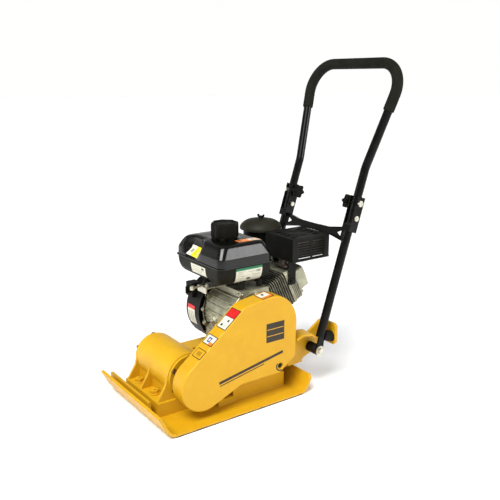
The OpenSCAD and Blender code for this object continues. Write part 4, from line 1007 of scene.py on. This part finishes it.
def half_path(s0):
    """Right half of the loop's centre line in the leaning frame, from a distance up the leg to the middle."""
    pts = [(LEG_X, 0, s) for s in (TUBE_START, 420, 460, 500, 520)]
    pts += [(x, 0, z) for x, z in arc(SPLAY_C, SPLAY_R, 180, 180 - SPLAY, 8)]
    x, z = polar(BEND_C, BEND_R, -SPLAY)
    a, b = Vector(pts[-1]), Vector((x, 0, z))
    pts += [tuple(a + (b - a) * i / 24) for i in range(1, 24)]
    pts += [(x, 0, z) for x, z in arc(BEND_C, BEND_R, -SPLAY, 90, 30)]
    pts += [(BEND_C[0] * (1 - i / 8), 0, BAR) for i in range(1, 9)]
    if s0 <= TUBE_START:
        return pts
    keep = [p for p in pts if p[2] > s0 + 0.5]
    x = a.x + (b.x - a.x) * (s0 - a.z) / (b.z - a.z)
    return [(x, 0, s0)] + keep


def full_path(s0):
    half = half_path(s0)
    return half + [(-x, y, z) for x, y, z in half[-2::-1]]


def star_ring(x, k):
    """Six-lobed outline of a star knob at a place along its axis, scaled by k."""
    spokes = [(a, k * (18.8 + 3.1 * math.cos(6 * a))) for a in angles(96)]
    return [(r * math.cos(a), r * math.sin(a), x) for a, r in spokes]


def make_handle():
    bm = bmesh.new()
    path = full_path(TUBE_START)
    last = len(path) - 1
    sweep(bm, path, lambda i: TUBE_R - 0.9 if i in (0, last) else TUBE_R, 40, HANDLE)
    piece("handle_tube", bm, "black_gloss", "handle_loop", ("upper_handle",), smooth=40)

    bm = bmesh.new()
    path = full_path(GRIP_START)
    d = (Vector(path[1]) - Vector(path[0])).normalized()
    steps = [(0, 12.9), (0.2, 14.4), (0.9, 15.3), (2.2, 15.9), (4, GRIP_R)]
    start = [tuple(Vector(path[0]) + d * step[0]) for step in steps]
    mirrored = [(-x, y, z) for x, y, z in start[::-1]]
    mid = [p for p in path[1:-1] if p[2] > start[-1][2] + 1]
    whole = start + mid + mirrored
    end_radii = [step[1] for step in steps]
    radii = end_radii + [GRIP_R] * len(mid) + end_radii[::-1]
    sweep(bm, whole, lambda i: radii[i], 44, HANDLE)
    piece("grip_sleeve", bm, "grip", "handle_loop", ("handle_grip",), smooth=40)

    for side, flip in (("left", ID), ("right", MIRROR)):
        bm = bmesh.new()
        place = flip @ HANDLE @ shift(0, 0, KNOB_AT) @ ALONG_X
        loft(bm, [star_ring(x, k) for x, k in (
            (105.7, 0.72), (106.0, 0.86), (107.4, 0.95), (110, 1), (119, 1),
            (121.4, 0.95), (122.7, 0.84), (122.7, 0.45))], place)
        lathe(bm, [(9, 122), (9, 129), (8.4, 129.7), (4.1, 129.7)], place, 36)
        lathe(bm, [(12, 106.2), (11.4, 104.9), (7, 104.6), (6.4, 105.2), (0.01, 105.2)], place, 36)
        piece("star_knob_" + side[0], bm, "plastic", "knob_" + side,
              ("star_knob_" + side,), smooth=40)


make_handle()

# ---------- weld beads ----------


def make_welds():
    bm = bmesh.new()
    weld_bead(bm, [(-172, -217.6, 15.6), (60, -217.6, 15.6)], 2.2)
    weld_bead(bm, [(60.4, -226, 24), (60.4, -218, 15.4)], 2.0)
    for side in (1, -1):
        weld_bead(bm, [(side * 105.2, 13, 8.4), (side * 105.2, 189, 8.4)], 2.0)
        weld_bead(bm, [(side * 107.2, -38, 8.4), (side * 107.2, 12, 8.4)], 2.0)
    for y in (203, 240):
        for side in (1, -1):
            weld_bead(bm, [(side * 101.2, y, 66), (side * 101.2, y, 104)], 1.7)
    piece("weld_seams", bm, "yellow_cast", "base", smooth=50)


make_welds()

# ---------- engine front ----------


CASE_BOLT_R, CASE_BOLTS = 91, (120, 146, 172, 198, 224)


def case_ring(profile, sweep_deg):
    """Turns (x, radius) points part of the way round the crankshaft, from 112 degrees."""
    return [[(x, *polar(CRANK, r, a)) for x, r in profile]
            for a in (112 + sweep_deg * i / 60 for i in range(61))]


def make_engine_front():
    """Ribs, rim, bosses and bolts of the crankcase casting, seen between the blower and the guard."""
    bm = bmesh.new()
    loft(bm, case_ring(((-61.4, 85), (-61.4, 90.6), (-60.4, 91.6), (-56.4, 91.6), (-55, 90), (-55, 85)), 124))
    loft(bm, case_ring(((65, 84.6), (65, 89.4), (66, 90.4), (70, 90.4), (71.4, 89.4), (71.4, 84.6)), 118))
    for k in range(8):
        a = 128 + 13.5 * k
        c, s = math.cos(math.radians(a)), math.sin(math.radians(a))
        rib = []
        for x, h in ((-55.5, 5.2), (-50, 4.6), (-20, 3.6), (20, 3.6), (58, 4.8), (65.5, 5.2)):
            top = 85.8 + h
            section = ((-2.1, 84.4), (-1.2, top - 0.6), (0, top), (1.2, top - 0.6), (2.1, 84.4))
            rib.append([(x, CRANK[0] + r * c - w * s, CRANK[1] + r * s + w * c) for w, r in section])
        loft(bm, rib)
    for a in CASE_BOLTS:
        y, z = polar(CRANK, CASE_BOLT_R, a)
        for x, h in ((-61.2, 13), (57.6, 14)):
            lathe(bm, [(6.4, 0), (7.4, 1), (7.4, h - 1), (6.4, h)], shift(x, y, z) @ ALONG_X, 32)
    out = shift(0, CRANK[0], CRANK[1]) @ turn(186, "X") @ shift(-8, 84, 0) @ turn(-90, "X")
    boss = [(19, 0), (19, 5.4), (18, 6.6), (15, 6.8), (14, 8.6), (6, 9), (5.4, 12.6), (4.6, 13.2)]
    lathe(bm, boss, out, 48)
    piece("crankcase_ribs", bm, "aluminium", "base", bevel=0.35, smooth=34)

    bm = bmesh.new()
    for a in CASE_BOLTS:
        y, z = polar(CRANK, CASE_BOLT_R, a)
        hex_head(bm, shift(71.6, y, z) @ ALONG_X @ turn(rng.uniform(0, 60), "Z"), 5.6, 4.4, 7, 1.1)
    for k in range(3):
        x, y = polar((0, 0), 14.6, 90 + 120 * k)
        hex_head(bm, out @ shift(x, y, 6.2), 3.4, 2.6)
    piece("crankcase_screws", bm, "zinc", "base", smooth=30)

    bm = bmesh.new()
    y, z = polar(CRANK, 99, 186)
    cable = [(-8, y, z), (-9, y - 9, z + 2), (-14, y - 13, z + 12), (-22, y - 11, z + 32),
             (-30, y - 2, z + 52), (-40, y + 8, z + 70), (-52, y + 14, z + 84), (-58, y + 18, z + 92)]
    sweep(bm, smooth_path(cable, 6), 2.1, 14)
    hose = [(-30, 10, 329), (-30, 8, 322), (-34, 5, 314), (-42, 3, 306), (-50, 4, 297), (-55, 8, 288)]
    sweep(bm, smooth_path(hose, 6), 4.2, 16)
    piece("wiring_and_hose", bm, "rubber", "base", smooth=40)


make_engine_front()

# ---------- muffler shield ----------

SHIELD_X0, SHIELD_Y0, SHIELD_Z0 = -38, 228, 367
SHIELD_X1, SHIELD_Y1, SHIELD_Z1 = 92, 365, 434


def make_shield_details():
    """Louvre lips over the slots, a pressed ring and beads on the top, and a rolled lower edge."""
    bm = bmesh.new()
    for i in range(7):
        for y in (SHIELD_Y0 + 20, SHIELD_Y0 + 74):
            z = SHIELD_Z0 + 12.4 + i * 7.6
            rows = []
            for t, k in ((0, 0.15), (1.5, 0.75), (4, 1), (23, 1.06), (42, 1), (44.5, 0.75), (46, 0.15)):
                section = ((-0.6, 1.5), (1.2 * k, 1.3), (2.5 * k, 0.2), (2.8 * k, -1.4), (2.2 * k, -1.5),
                           (0.9 * k, -0.1), (-0.6, 0.1))
                rows.append([(SHIELD_X1 + dx, y + t, z + dz) for dx, dz in section])
            loft(bm, rows)
    ring = [(33, -0.4), (31.4, 0.5), (29.6, 1.3), (27.4, 1.6), (25.4, 1.3), (24, 0.4), (22, 0.2), (10, 0.5),
            (0.01, 0.6)]
    lathe(bm, ring, shift(27, 296.5, SHIELD_Z1), 72)
    for x, y in ((-24, 242), (78, 242), (-24, 351), (78, 351)):
        lathe(bm, [(6.5, -0.3), (6, 0.6), (4.6, 1.4), (0.01, 1.8)], shift(x, y, SHIELD_Z1), 28)
    for out, z, r in ((0.6, SHIELD_Z0 + 1.2, 1.7), (-1.4, SHIELD_Z1 - 0.9, 1.9)):
        edge = rounded(SHIELD_X0 - out, SHIELD_Y0 - out, SHIELD_X1 + out, SHIELD_Y1 + out, 3, 5)
        sweep(bm, [(x, y, z) for x, y in edge], r, 10, closed=True)
    piece("shield_pressings", bm, "engine_black", "base", smooth=40)


make_shield_details()
